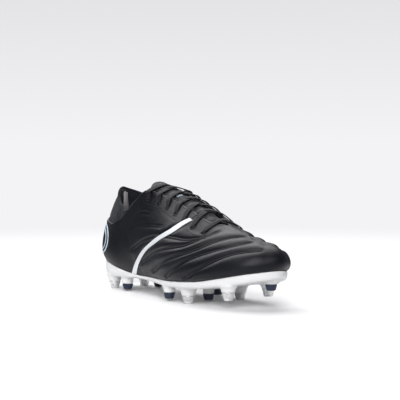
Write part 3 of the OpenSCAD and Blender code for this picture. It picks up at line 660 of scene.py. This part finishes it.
def relief(u, v, medial):
    """How far the leather stands out from its plain shape: puffed between sewn channels."""
    points = skin(u, v)
    station = np.minimum(np.mod(u, ROUND_TRIP), ROUND_TRIP - np.mod(u, ROUND_TRIP))
    puff, groove = np.zeros(u.shape), np.zeros(u.shape)
    clear = np.ones(u.shape)
    for line, full in zip(CHANNELS, FULLNESS):
        d, share = nearest(points, on_skin(line, medial, CHANNEL_STEPS)[2])
        taper = full * smooth(share / 0.1) * smooth((1 - share) / 0.1)
        groove += taper * (np.exp(-((d - TWIN) / 0.65) ** 2) + 0.3 * np.exp(-(d / 1.2) ** 2))
        puff = np.maximum(puff, (0.3 * full + 0.7 * taper) * np.exp(-(d / 17) ** 2))
        clear = np.minimum(clear, 1 - taper * np.exp(-(d / 4.5) ** 2))
    for line in CREASES:
        d, share = nearest(points, on_skin(line, medial, CHANNEL_STEPS)[2])
        groove += 0.3 * smooth(share / 0.3) * smooth((1 - share) / 0.3) * np.exp(-(d / 0.9) ** 2)
    stripe = np.abs(station - front_seam(False, v)) * 25
    near_stripe = 1 if medial else smooth((stripe - 4) / 6)
    near_throat = 1 - smooth((v - 0.70) / 0.08) * smooth((9.9 - station) / 0.4)
    near_edge = smooth(v / 0.07) * smooth((station - 3.4) / 1.2)
    ease = near_stripe * near_throat * near_edge
    slack = 0.22 * np.sin(points[..., 0] / 9.1 + points[..., 2] / 6.3) * np.sin(points[..., 2] / 7.7)
    return ease * (PUFF * puff * clear - GROOVE * groove + slack)


def front_seam(medial, v):
    """The station where the quarter ends and the vamp begins."""
    return mix(6.4, 9.2, smooth(v)) if medial else column(smooth_path(STRIPE, 12), v, 0, 1)


def punch(obj, medials):
    """Cuts the lace holes."""
    points, faces = [], []
    for medial in medials:
        for u, v in EYELETS:
            u = across(medial, u)
            n = outward(u, v)
            low = under(u, v, HOLE_DEPTH)
            rim = hoop(n, EYELET_R, HOLE_SIDES)
            k = len(points)
            points += [*(low + rim), *(low + n * HOLE_LENGTH + rim)]
            for j in range(HOLE_SIDES):
                a, b = k + j, k + (j + 1) % HOLE_SIDES
                faces.append([a, b, b + HOLE_SIDES, a + HOLE_SIDES])
            faces.append([k + j for j in range(HOLE_SIDES)][::-1])
            faces.append([k + HOLE_SIDES + j for j in range(HOLE_SIDES)])
    cut(obj, mesh_object("cutter", placed(points), faces))


def cut(obj, cutter):
    """Takes the cutter's shape out of an object for good."""
    made = obj.modifiers.new("cut", "BOOLEAN")
    made.operation = "DIFFERENCE"
    made.solver = "MANIFOLD"
    made.object = cutter
    settle(obj)
    bpy.data.objects.remove(cutter)


def settle(obj):
    """Applies an object's modifiers."""
    bpy.context.view_layer.update()
    found = obj.evaluated_get(bpy.context.evaluated_depsgraph_get())
    mesh = bpy.data.meshes.new_from_object(found)
    obj.modifiers.clear()
    obj.data = mesh
    mesh.polygons.foreach_set("use_smooth", np.ones(len(mesh.polygons), bool))


def punched_leather(node, u, v, stand, faces, medials):
    """A piece of the upper with its lace holes. stand is how far its face stands out."""
    outer, inner = under(u, v, -stand), under(u, v, LEATHER)
    points, faces = thicken(outer.reshape(-1, 3), inner.reshape(-1, 3), faces)
    obj = make(node + "_leather", points, faces, np.tile(flat_sizes(outer), (3, 1)))
    punch(obj, medials)
    dress(obj, BLACK, [node])


def vamp():
    n, knee, m = 190, 76, 96
    rows = np.arange(n + 1)[:, None]
    columns = np.arange(2 * m + 2)[None, :]
    left = columns <= m
    v = np.where(left, columns / m, (2 * m + 1 - columns) / m) + np.zeros(rows.shape)
    seam = np.where(left, front_seam(False, v), front_seam(True, v)) + 0.02
    low = mix(seam, THROAT_END, rows / knee)
    high = mix(THROAT_END, TOE, (rows - knee) / (n - knee))
    station = np.where(rows <= knee, low, high)
    u = np.where(left, station, ROUND_TRIP - station)
    number = grid_numbers(u)
    # Past the throat both sides share one ridge, and at the toe one line
    number[knee:, m + 1] = number[knee:, m]
    number[n, m + 1:] = number[n, m::-1]
    faces = np.vstack([quads(number[:, :m + 1]), quads(number[:, m + 1:])])
    stand = np.where(left, relief(u, v, False), relief(u, v, True))
    punched_leather("vamp", u, v, stand, faces, (False, True))


def quarter(medial):
    n, m = 170, 90
    f = np.linspace(0, 1, n + 1)[:, None]
    top = column(QUARTER_TOP, f)
    v = top * np.linspace(0, 1, m + 1)[None, :]
    u = across(medial, front_seam(medial, v) * f)
    if medial:
        u, v = u[::-1], v[::-1]
    node = "medial_quarter" if medial else "lateral_quarter"
    punched_leather(node, u, v, relief(u, v, medial), quads(grid_numbers(u)), (medial,))


def stripe():
    n, m = 10, 150
    v = np.linspace(0.005, STRIPE_TOP, m + 1)[None, :]
    f = np.linspace(-1, 1, n + 1)[:, None]
    u = front_seam(False, v) + f * column(STRIPE_HALF, v, 0, 1)
    crown = 0.15 * (1 - f ** 2)
    put_sheet("stripe_film", under(u, v, -STRIPE_RISE - crown), under(u, v, -0.02), TRIM, "trim_white",
              ["side_stripe"])


def badge():
    """Two plain rings on the heel."""
    rings = []
    angle = np.arange(160) * 2 * math.pi / 160
    for ru, rv, wide in ((0.82, 0.20, 0.9), (0.58, 0.142, 0.7)):
        u, v = 1.95 + ru * np.cos(angle), 0.37 + rv * np.sin(angle)
        rings.append(tube(under(u, v, -0.1), 10, wide, 0.45, outward(u, v), closed=True)[:2])
    put("heel_rings", *merged(rings), PALE, "trim_pale_blue", ["heel_badge"])


def patch(u0, u1, v0, v1, n, m):
    """Stations and heights of a patch. v0 and v1 are numbers, or functions of the share along u."""
    f = np.linspace(0, 1, n + 1)[:, None]
    g = np.linspace(0, 1, m + 1)[None, :]
    low = v0(f) if callable(v0) else v0
    high = v1(f) if callable(v1) else v1
    return mix(u0, u1, f) + 0 * g, mix(low, high, g) + 0 * f


# Stations where the collar's cloth, its rolled edge, the lining and the heel pad end
CLOTH_END = 4.4
ROLL_END = 5.1
LINING_END = 9.5
PAD_END = 0.75


def collar():
    """The padded textile collar, its rolled edge, the lining behind it and the pale heel pad."""
    def low_edge(f):
        return np.interp(np.abs(2 * f - 1) * CLOTH_END, [0, 2.9, 3.2, 3.9, CLOTH_END],
                         [0.59, 0.6, 0.69, 0.78, 0.84])
    u, v = patch(-CLOTH_END, CLOTH_END, low_edge, COLLAR_TOP + 0.01, 150, 50)
    rise = np.clip((v - 0.62) / 0.34, 0, 1)
    ribs = 0.2 * np.abs(np.sin(rise * 2 * math.pi)) ** 0.6
    puff = (1.3 * np.sin(rise * math.pi) ** 0.7 + ribs) * smooth((3.4 - np.abs(u)) / 0.6)
    put_sheet("collar_cloth", under(u, v, TEXTILE_DEPTH - puff), under(u, v, TEXTILE_DEPTH + 0.9),
              COLLAR, "collar_textile", ["collar_shell"])
    u = np.linspace(-ROLL_END, ROLL_END, 240)
    # Its ends run down behind the quarters and grow thin
    tail = smooth((np.abs(u) - 4.2) / 0.9)
    roll = under(u, 1 - 0.03 * tail, 2.2 + 1.6 * tail) + [0, 0, 0.3]
    grid, faces, ends = tube(roll, 20, 1.6 - 0.9 * tail, 1.6 - 0.7 * tail)
    obj = put("collar_roll", grid.reshape(-1, 3), np.vstack([faces, ends]), COLLAR, "collar_textile",
              ["collar_binding"], cloth=flat_sizes(grid))

    def top_edge(f):
        return np.interp(np.abs(2 * f - 1) * LINING_END, [0, 4.9, 5.4, LINING_END], [0.99, 0.99, 0.72, 0.68])
    u, v = patch(-LINING_END, LINING_END, 0.03, top_edge, 240, 70)
    depth = lining_depth(u, v)
    quilt = 0.35 * np.abs(np.sin(v * 26)) ** 0.5 * smooth((v - 0.6) / 0.1)
    obj = put_sheet("collar_padding", under(u, v, depth - 0.2), under(u, v, depth + 0.7 + quilt), LINING,
                    "lining_dark", ["collar_lining", "collar_foam"])
    u, v = patch(-PAD_END, PAD_END, 0.64, COLLAR_TOP, 40, 60)
    f = (np.abs(u) / PAD_END) ** 4 + np.abs((v - 0.80) / 0.165) ** 6
    puff = 2.2 * np.sqrt(np.clip(1 - f, 0, 1))
    depth = lining_depth(u, v) + 0.75
    obj = put_sheet("heel_pad", under(u, v, depth + 0.35), under(u, v, depth + 0.7 + puff), PAD,
                    "tab_grey", ["heel_tab"])


def lining_depth(u, v):
    """Depth of the lining's outer face: the foam in front of it is fullest near the top line."""
    f = np.clip((v - 0.58) / 0.42, 0, 1)
    pad = 4.6 * np.sin(math.pi * f ** 0.9) * (1 - 0.7 * np.minimum(np.abs(u) / 4.9, 1) ** 3)
    return FOAM_DEPTH + 0.75 + pad


# ---- tongue ----

TONGUE_DEPTH = 4.5
TONGUE_START = 5.2
TONGUE_END = 9.6
TONGUE_FULL = 6.8


def tongue_arch(u, d, t):
    """A point of the tongue's arch under the throat: d is the depth below its face, t runs across it."""
    u, d, t = np.broadcast_arrays(np.asarray(u, float), np.asarray(d, float), np.asarray(t, float))
    crown = np.interp(u, [8.3, 9.4], [5, 0.4])
    ends = [under(s, 1, TONGUE_DEPTH + d) for s in (u, ROUND_TRIP - u)]
    rise = crown * 4 * t * (1 - t)
    return mix(ends[0], ends[1], t[..., None]) + rise[..., None] * np.array([0, 0, 1.0])


def tongue_layer(near, far, n=120, m=36, wing=16):
    """Two grids across the tongue, from under one side of the throat to under the other. near and far give
    their depths by u and t."""
    u = np.linspace(TONGUE_START, TONGUE_END, n + 1)[:, None]
    rise = np.linspace(0.80, 0.985, wing)[None, :]
    t = np.linspace(0, 1, m + 1)[None, :]
    grids = []
    for depth in (near, far):
        lateral, medial = (under(s, rise, TONGUE_DEPTH + depth(u, 0)) for s in (u, ROUND_TRIP - u))
        grids.append(np.concatenate([lateral, tongue_arch(u, depth(u, t), t), medial[:, ::-1]], axis=1))
    return grids


def tongue():
    def ribs(u, t):
        """Soft ribs between the lace's crossings."""
        wave = np.abs(np.sin((u - TONGUE_START) * math.pi / 0.32)) ** 4
        return 0.55 * wave * np.sin(math.pi * np.clip(t, 0, 1)) ** 0.3
    put_sheet("tongue_face", *tongue_layer(ribs, lambda u, t: 1.2), GREY, "leather_grey", ["tongue_leather"],
              bulge=0.1)
    u = np.linspace(6.25, 6.6, 12)[:, None]
    t = np.linspace(0.25, 0.52, 24)[None, :]
    put_sheet("tongue_mark", tongue_arch(u, -0.35, t), tongue_arch(u, -0.02, t), PALE, "trim_pale_blue")
    layer = tongue_layer(lambda u, t: 1.3, lambda u, t: TONGUE_FULL)
    obj = put_sheet("tongue_padding", *layer, LINING, "lining_dark", ["tongue_foam", "tongue_lining"],
                    bulge=0.04)


# The way the tongue's free top stands, and the depth of its middle
FLAP_WAY = np.array([-0.8, 0, 0.6])
FLAP_MIDDLE = 3.3


def flap_point(t, d, f):
    reach = 8 * (1 - np.abs(2 * t - 1) ** 3.2) + 1.5
    return tongue_arch(TONGUE_START + 0 * f, d, t) + FLAP_WAY * (0.4 + reach * f)[..., None]


def flap_half(t, f):
    """Half the flap's thickness: full in the middle, and round at its free edge."""
    return 3.25 * (1 - 0.35 * f) * np.sqrt(1 - f ** 5) * (1 - 0.75 * np.abs(2 * t - 1) ** 5) + 0.05


def tongue_top():
    n, m = 40, 90
    f = mix(0.09, 1, 1 - (1 - np.linspace(0, 1, n + 1)) ** 2)[::-1, None]
    t = np.linspace(0.03, 0.97, m + 1)[None, :]
    f, t = f + 0 * t, t + 0 * f
    seam = 0.8 * np.exp(-((f - 0.72) / 0.035) ** 2)
    near = flap_point(t, FLAP_MIDDLE - flap_half(t, f) + seam, f)
    far = flap_point(t, FLAP_MIDDLE + flap_half(t, f), f)
    obj = put_sheet("tongue_flap_pad", near, far, GREY, "leather_grey", ["tongue_top"], "tongue_flap", 0.1)
    f = np.linspace(0.46, 0.12, 16)[:, None]
    t = np.linspace(0.42, 0.63, 24)[None, :]
    f, t = f + 0 * t, t + 0 * f
    depth = FLAP_MIDDLE - flap_half(t, f)
    put_sheet("tongue_patch", flap_point(t, depth - 0.5, f), flap_point(t, depth - 0.05, f), TRIM,
              "trim_white", ["tongue_label"], "tongue_flap")


# ---- lace ----

# Depths of the lace where it runs under the leather and over it, and how the holes pinch it
LACE_LOW = 3.5
LACE_OVER = -1.0
IN_HOLE = (3.4, 1.5)


# Each stop of the lace is its point, the direction of its flat face, its width and its thickness

def stop_on(medial, u, v, depth, turn, w=LACE_W):
    s = across(medial, u)
    return [*under(s, v, depth), *(turn * outward(s, v)), w, LACE_T]


def stop_in_hole(medial, k, turn):
    u, v = EYELETS[k]
    s = across(medial, u)
    uphill = unit(skin(s, v + 0.03) - skin(s, v - 0.03))
    return [*under(s, v, 0.8), *(turn * uphill), *IN_HOLE]


def stop_on_tongue(u, lift, turn):
    p = tongue_arch(u, 0, 0.5) + [0, 0, lift]
    return [*p, *(turn * unit(np.array([0.25, 0, 1]))), LACE_W, LACE_T]


def climb(k, medial, turn):
    """From the tongue's middle under the other side's edge and up through its hole."""
    a, b, v = EYELETS[k][0], EYELETS[k + 1][0], EYELETS[k + 1][1]
    return [stop_on(medial, mix(a, b, 0.76), 1, LACE_LOW, turn),
            stop_on(medial, mix(a, b, 0.95), v + 0.055, LACE_LOW, turn, 4.6),
            stop_in_hole(medial, k + 1, turn)]


def descend(k, medial, turn, lift):
    """Over the edge from a hole to the tongue's middle."""
    a, b, v = EYELETS[k][0], EYELETS[k + 1][0], EYELETS[k][1]
    return [stop_on(medial, mix(a, b, 0.06), v + 0.05, -0.9, turn, 4.8),
            stop_on(medial, mix(a, b, 0.27), 1, LACE_OVER, turn),
            stop_on_tongue(mix(a, b, 0.5), lift, turn)]


def half_lace(medial, lift):
    """One half of the lace, from the lowest bar to its end."""
    a, b, v = EYELETS[0][0], EYELETS[1][0], EYELETS[0][1]
    hole = stop_in_hole(medial, 0, -1)
    stops = [stop_on(medial, a, 1, LACE_OVER, 1), stop_on(medial, a, v + 0.05, -0.9, 1, 4.8), hole,
             stop_on(medial, mix(a, b, 0.06), v + 0.055, LACE_LOW, -1, 4.6),
             stop_on(medial, mix(a, b, 0.27), 1, LACE_LOW, -1), stop_on_tongue(mix(a, b, 0.5), lift, -1)]
    stops += climb(0, not medial, -1)
    last = len(EYELETS) - 1
    for k in range(1, last):
        here, turn = (medial, -1) if k % 2 == 0 else (not medial, 1)
        stops += descend(k, here, turn, lift) + climb(k, not here, turn)
    top = medial if last % 2 == 0 else not medial
    u, w = EYELETS[last]
    return stops + [stop_on(top, u - 0.02, w + 0.05, -0.9, -1, 4.8), stop_on(top, u - 0.05, 1, LACE_OVER, -1),
                    stop_on_tongue(u - 0.09, lift, -1), stop_on(not top, u - 0.14, 1, LACE_LOW, -1, 3.4),
                    stop_on(not top, u - 0.16, 0.97, LACE_LOW, -1, 2)]


def lace():
    stops = half_lace(True, 1)[::-1] + [stop_on_tongue(EYELETS[0][0], 5.8, 1)] + half_lace(False, 2.5)
    run = smooth_path(stops, 9)
    path, facing = run[:, :3], unit(run[:, 3:6])
    grid, faces, ends = tube(path, 16, run[:, 6] / 2, run[:, 7] / 2, facing)
    put("lace_braid", grid.reshape(-1, 3), np.vstack([faces, ends]), LACE, "lace_black", ["lace"],
        cloth=flat_sizes(grid))


# ---- stitching and eyelet rims ----

def stitches(name, lines, length=2.3, pitch=3.1, wide=0.32, high=0.22):
    """Rows of thread stitches. Each line is its points and the directions away from the leather."""
    solids = []
    angle = np.arange(6) * math.pi / 3
    ends = np.array([-1, -0.8, 0, 0.8, 1])
    swell = np.array([0.35, 0.85, 1, 0.85, 0.35])
    for line, away in lines:
        steps = np.linalg.norm(np.diff(line, axis=0), axis=1)
        reach = np.concatenate([[0], np.cumsum(steps)])
        for middle in np.arange(pitch / 2, reach[-1] - pitch / 2, pitch):
            place = middle + ends * length / 2
            p = np.stack([np.interp(place, reach, line[:, k]) for k in range(3)], axis=-1)
            n = unit(np.array([np.interp(middle, reach, away[:, k]) for k in range(3)]))
            side = unit(np.cross(p[-1] - p[0], n))
            circle = np.cos(angle)[:, None] * side * wide + np.sin(angle)[:, None] * n * high
            lift = (swell * 0.5 - 0.25)[:, None] * n * high
            solid = (p + lift)[:, None] + swell[:, None, None] * circle[None]
            number = grid_numbers(solid)
            caps = [[row[[0, 1, 4, 5]], row[[1, 2, 3, 4]]] for row in (number[0], number[-1][::-1])]
            solids.append((solid, np.vstack([quads(np.hstack([number, number[:, :1]])), *caps])))
    put(name, *merged(solids), THREAD, "lace_black")


def seam(u, v, medial=False, lift=0.1):
    """A line of stations and heights on the leather as it stands, and the directions away from it."""
    u = across(medial, np.asarray(u, float))
    v = np.asarray(v, float)
    return under(u, v, -relief(u, v, medial) - lift), outward(u, v)


def shifted(line, medial, offset):
    """A quilting channel moved sideways on the leather, in millimetres."""
    uv = smooth_path(line, CHANNEL_STEPS)
    uv = uv[len(uv) // 14: -len(uv) // 14]
    u = across(medial, uv[:, 0])
    v = uv[:, 1]
    p = skin(u, v)
    ahead = unit(np.gradient(p, axis=0))
    side = np.cross(ahead, outward(u, v))
    # Small steps in u and v that move the line by the offset
    du, dv = (skin(u + 0.01, v) - p) / 0.01, (skin(u, np.clip(v + 0.01, 0, 1.02)) - p) / 0.01
    moved = np.array([np.linalg.lstsq(np.stack([a, b], axis=-1), s * offset, rcond=None)[0]
                      for a, b, s in zip(du, dv, side)])
    return seam(across(medial, u + moved[:, 0]), np.clip(v + moved[:, 1], 0.01, 0.995), medial, 0.02)


def all_stitches():
    quilting = [shifted(line, medial, offset) for medial in (False, True) for line in CHANNELS[1:]
                for offset in (-TWIN, TWIN)]
    stitches("quilting_stitches", quilting)
    v = np.linspace(0.03, 0.84, 200)
    aside = column(STRIPE_HALF, v, 0, 1) + 0.055
    beside = [seam(front_seam(False, v) + side * aside, v) for side in (-1, 1)]
    v = np.linspace(0.03, 0.97, 200)
    beside += [seam(front_seam(True, v) + shift, v, True) for shift in (-0.08, 0.08)]
    stitches("seam_stitches", beside)
    u = np.linspace(5.0, 9.75, 200)
    throat = [seam(u, 0.965 + 0 * u, medial) for medial in (False, True)]
    u = np.linspace(5.2, 9.7, 200)
    throat += [seam(u, 0.70 + 0.018 * (9.29 - u) / 0.64, medial) for medial in (False, True)]
    stitches("throat_stitches", throat)
    f = np.linspace(0.02, 0.60, 200)
    top = column(QUARTER_TOP, f) - 0.022
    edge = [seam(front_seam(medial, top) * f + 0.03, top, medial) for medial in (False, True)]
    stitches("collar_stitches", edge)


def eyelet_rims():
    rims = []
    for medial in (False, True):
        for u, v in EYELETS:
            u = across(medial, u)
            n = outward(u, v)
            path = under(u, v, -0.12) + hoop(n, EYELET_R + 0.25, 36)
            rims.append(tube(path, 10, 0.55, 0.38, np.repeat(n[None], len(path), 0), closed=True)[:2])
    put("eyelet_rims", *merged(rims), BLACK, "leather_black")


# ---- sole ----

def underside(x):
    reach = (-8, -4, 0, 4, 8)
    return sum(column(UNDERSIDE, x + r) for r in reach) / len(reach)


def rim_point(u, out, z):
    d = ring(RINGS[0], u + 0.1) - ring(RINGS[0], u - 0.1)
    normal = unit(np.stack([d[..., 1], -d[..., 0], 0 * u], axis=-1))
    p = ring(RINGS[0], u) + out * normal
    p[..., 2] = z
    return p


def sole_shell():
    u = np.linspace(0, ROUND_TRIP, 313)[:-1]
    f = ring(RINGS[0], u)
    x, rim = f[:, 0], f[:, 2] - 0.15
    low = underside(x)
    bed = low + PLATE
    spine_x = mix(26, 262, (x - 4) / 274)
    spine_y = column(MIDDLE, x)

    def spine(z):
        return np.stack([spine_x, spine_y, z], axis=-1)
    rows = [spine(underside(spine_x) + PLATE), rim_point(u, -6, bed), rim_point(u, -3.4, mix(bed, rim, 0.35)),
            rim_point(u, -2.9, rim - 0.4), rim_point(u, -2.4, rim), rim_point(u, 0.9, rim + 0.1),
            rim_point(u, 1.5, rim - 0.3), rim_point(u, 1.55, rim - 1.0), rim_point(u, 1.1, rim - 1.5),
            rim_point(u, 1.2, mix(low, rim, 0.55)), rim_point(u, 0.9, mix(low, rim, 0.35)),
            rim_point(u, -0.3, low + 1.3), rim_point(u, -1.8, low + 0.35), rim_point(u, -4, low),
            spine(underside(spine_x))]
    grid = np.stack(rows, axis=1)
    number = grid_numbers(grid)
    return grid.reshape(-1, 3), quads(np.vstack([number, number[:1]]))


def roots(studs, top_r, height, power):
    """The bodies that carry the studs: each widens from its stud's top to its root on the plate."""
    solids = []
    for x, y, z, r in studs:
        h = underside(x) + 1.2 - z - height
        profile = [(mix(top_r, r, a ** power), h * a) for a in np.linspace(0, 1, 12)] + [(r, h + 0.8)]
        solids.append(lathe(profile, (x, y, z + height)))
    return solids


def rib(line, wide):
    """A raised rib on the underside."""
    path = smooth_path(line, 12)
    path = np.column_stack([path, underside(path[:, 0]) + 0.5])
    grid, faces, ends = tube(path, 12, wide, 1.6)
    return grid.reshape(-1, 3), np.vstack([faces, ends])


RIBS = [[(66, -12), (90, -9), (115, -11), (142, -19)], [(66, 12), (90, 8), (115, 9), (138, 15)],
        [(172, -20), (196, -22), (222, -17)], [(172, 14), (200, 14), (222, 11)]]


SOLE_VOXEL = 0.9


def sole():
    bosses = roots(SCREW_IN, STUD_R + 0.6, STUD_H, 2.4) + roots(MOULDED, NAVY_R[1], NAVY_H, 3.5)
    parts = [turned("roots", bosses)]
    parts.append(make("shell", *sole_shell()))
    parts += [make("rib", *rib(line, 2.2)) for line in RIBS]
    whole = join("moulded_sole", parts)
    remesh = whole.modifiers.new("remesh", "REMESH")
    remesh.mode = "VOXEL"
    remesh.voxel_size = SOLE_VOXEL * MM
    even = whole.modifiers.new("even", "SMOOTH")
    even.factor = 0.5
    even.iterations = 5
    settle(whole)
    hole = [(3.5, -4), (3.5, 1.0), (3.5, 8.0)]
    cut(whole, turned("holes", [lathe(hole, (x, y, z + STUD_H), 48) for x, y, z, _ in SCREW_IN]))
    dress(whole, WHITE, ["soleplate"])


def join(name, parts):
    """One mesh object from several."""
    points, faces, count = [], [], 0
    for obj in parts:
        points += [v.co[:] for v in obj.data.vertices]
        faces += [[count + k for k in f.vertices] for f in obj.data.polygons]
        count += len(obj.data.vertices)
        bpy.data.objects.remove(obj)
    return mesh_object(name, points, faces)


def rounded(low_r, high_r, low_z, high_z, edge, steps=6):
    """The profile of a tapered cylinder with rounded ends."""
    a = np.linspace(0, math.pi / 2, steps)
    start = [(low_r - edge + edge * math.sin(t), low_z + edge - edge * math.cos(t)) for t in a]
    finish = [(high_r - edge + edge * math.cos(t), high_z - edge + edge * math.sin(t)) for t in a]
    return start + finish


def navy_tips():
    band = NAVY_R[1] - 0.05
    profile = rounded(NAVY_R[0], band, 0, NAVY_H - 0.1, 0.9)
    obj = turned("navy_stud_tips", [lathe(profile, (x, y, z)) for x, y, z, _ in MOULDED])
    dress(obj, NAVY, ["moulded_stud_tips"])


def stud_slots(radii, angle, z):
    """Four narrow slots near the tip take the stud spanner."""
    turn = np.abs(np.mod(angle + math.radians(10), math.pi / 2) - math.pi / 4) * TIP_R
    inside = smooth((1.25 - turn) / 0.3) * smooth((z - 1.2) / 0.3) * smooth((4.6 - z) / 0.3)
    return radii - 2.4 * inside * (radii > 2)


def studs():
    shaft = rounded(TIP_R, STUD_R - 0.5, 0, STUD_H - 1.5, 0.5)
    heights = np.linspace(0.6, STUD_H - 2, 34)
    wall = [(mix(TIP_R, STUD_R - 0.5, (z - 0.6) / (STUD_H - 2.6)), z) for z in heights]
    collar_edge = rounded(STUD_R, STUD_R, STUD_H - 1.5, STUD_H - 0.1, 0.35)
    profile = [(0.1, 0)] + shaft[:6] + wall + collar_edge
    for k, (x, y, z, _) in enumerate(SCREW_IN, 1):
        obj = turned(f"turned_stud_{k}", [lathe(profile, (x, y, z), 160, stud_slots)])
        dress(obj, STUD, [f"stud_{k}"], f"tread_{k}")
        thread = [(SPIGOT_R, h) for h in np.linspace(STUD_H - 3.4, STUD_H + 6.8, 110)]

        def pitch(radii, angle, height):
            """One turn of thread in each millimetre of height."""
            wave = np.abs(np.mod(height + angle / (2 * math.pi), 1) - 0.5) * 2
            return radii - 0.4 * smooth(wave)
        obj = turned(f"threaded_spigot_{k}", [lathe(thread, (x, y, z), 48, pitch)])
        dress(obj, STEEL, [f"spigot_{k}"], f"screw_{k}")


def insole():
    n, m = 150, 40
    x = np.linspace(15, 266, n + 1)[:, None]
    station = np.interp(x, [r[0] for r in FEATHER], range(TOE + 1))
    a = ring(RINGS[0], station)[..., 1] + 8.8
    b = ring(RINGS[0], ROUND_TRIP - station)[..., 1] - 8.8
    g = np.linspace(0, 1, m + 1)[None, :]
    y = mix(a, b, g)
    cup = 2.4 * np.abs(2 * g - 1) ** 4
    z = underside(x) + PLATE + 6.1 + cup + 0.25 * np.sin(x / 4) * np.sin(y / 4)
    top = np.stack([x + 0 * y, y, z + 0 * y], axis=-1)
    low = top.copy()
    low[..., 2] = underside(x) + PLATE + 3.1 + cup
    put_sheet("insole_cushion", top, low, INSOLE, "sockliner_foam", ["sockliner"])


def hidden_finishes():
    """Better finishes for the CAD nodes that keep their shape."""
    for node, finish in (("thread_inserts", BRASS), ("shank", NYLON), ("insole_board", BOARD),
                         ("heel_counter", BOARD), ("toe_puff", BOARD), ("forefoot_lining", LINING),
                         ("lateral_eyestay", BLACK), ("medial_eyestay", BLACK), ("aglets", NAVY)):
        obj = frame["nodes"][node]
        obj.data.materials.clear()
        obj.data.materials.append(finish)


vamp()
quarter(False)
quarter(True)
stripe()
badge()
collar()
tongue()
tongue_top()
lace()
all_stitches()
eyelet_rims()
sole()
navy_tips()
studs()
insole()
hidden_finishes()
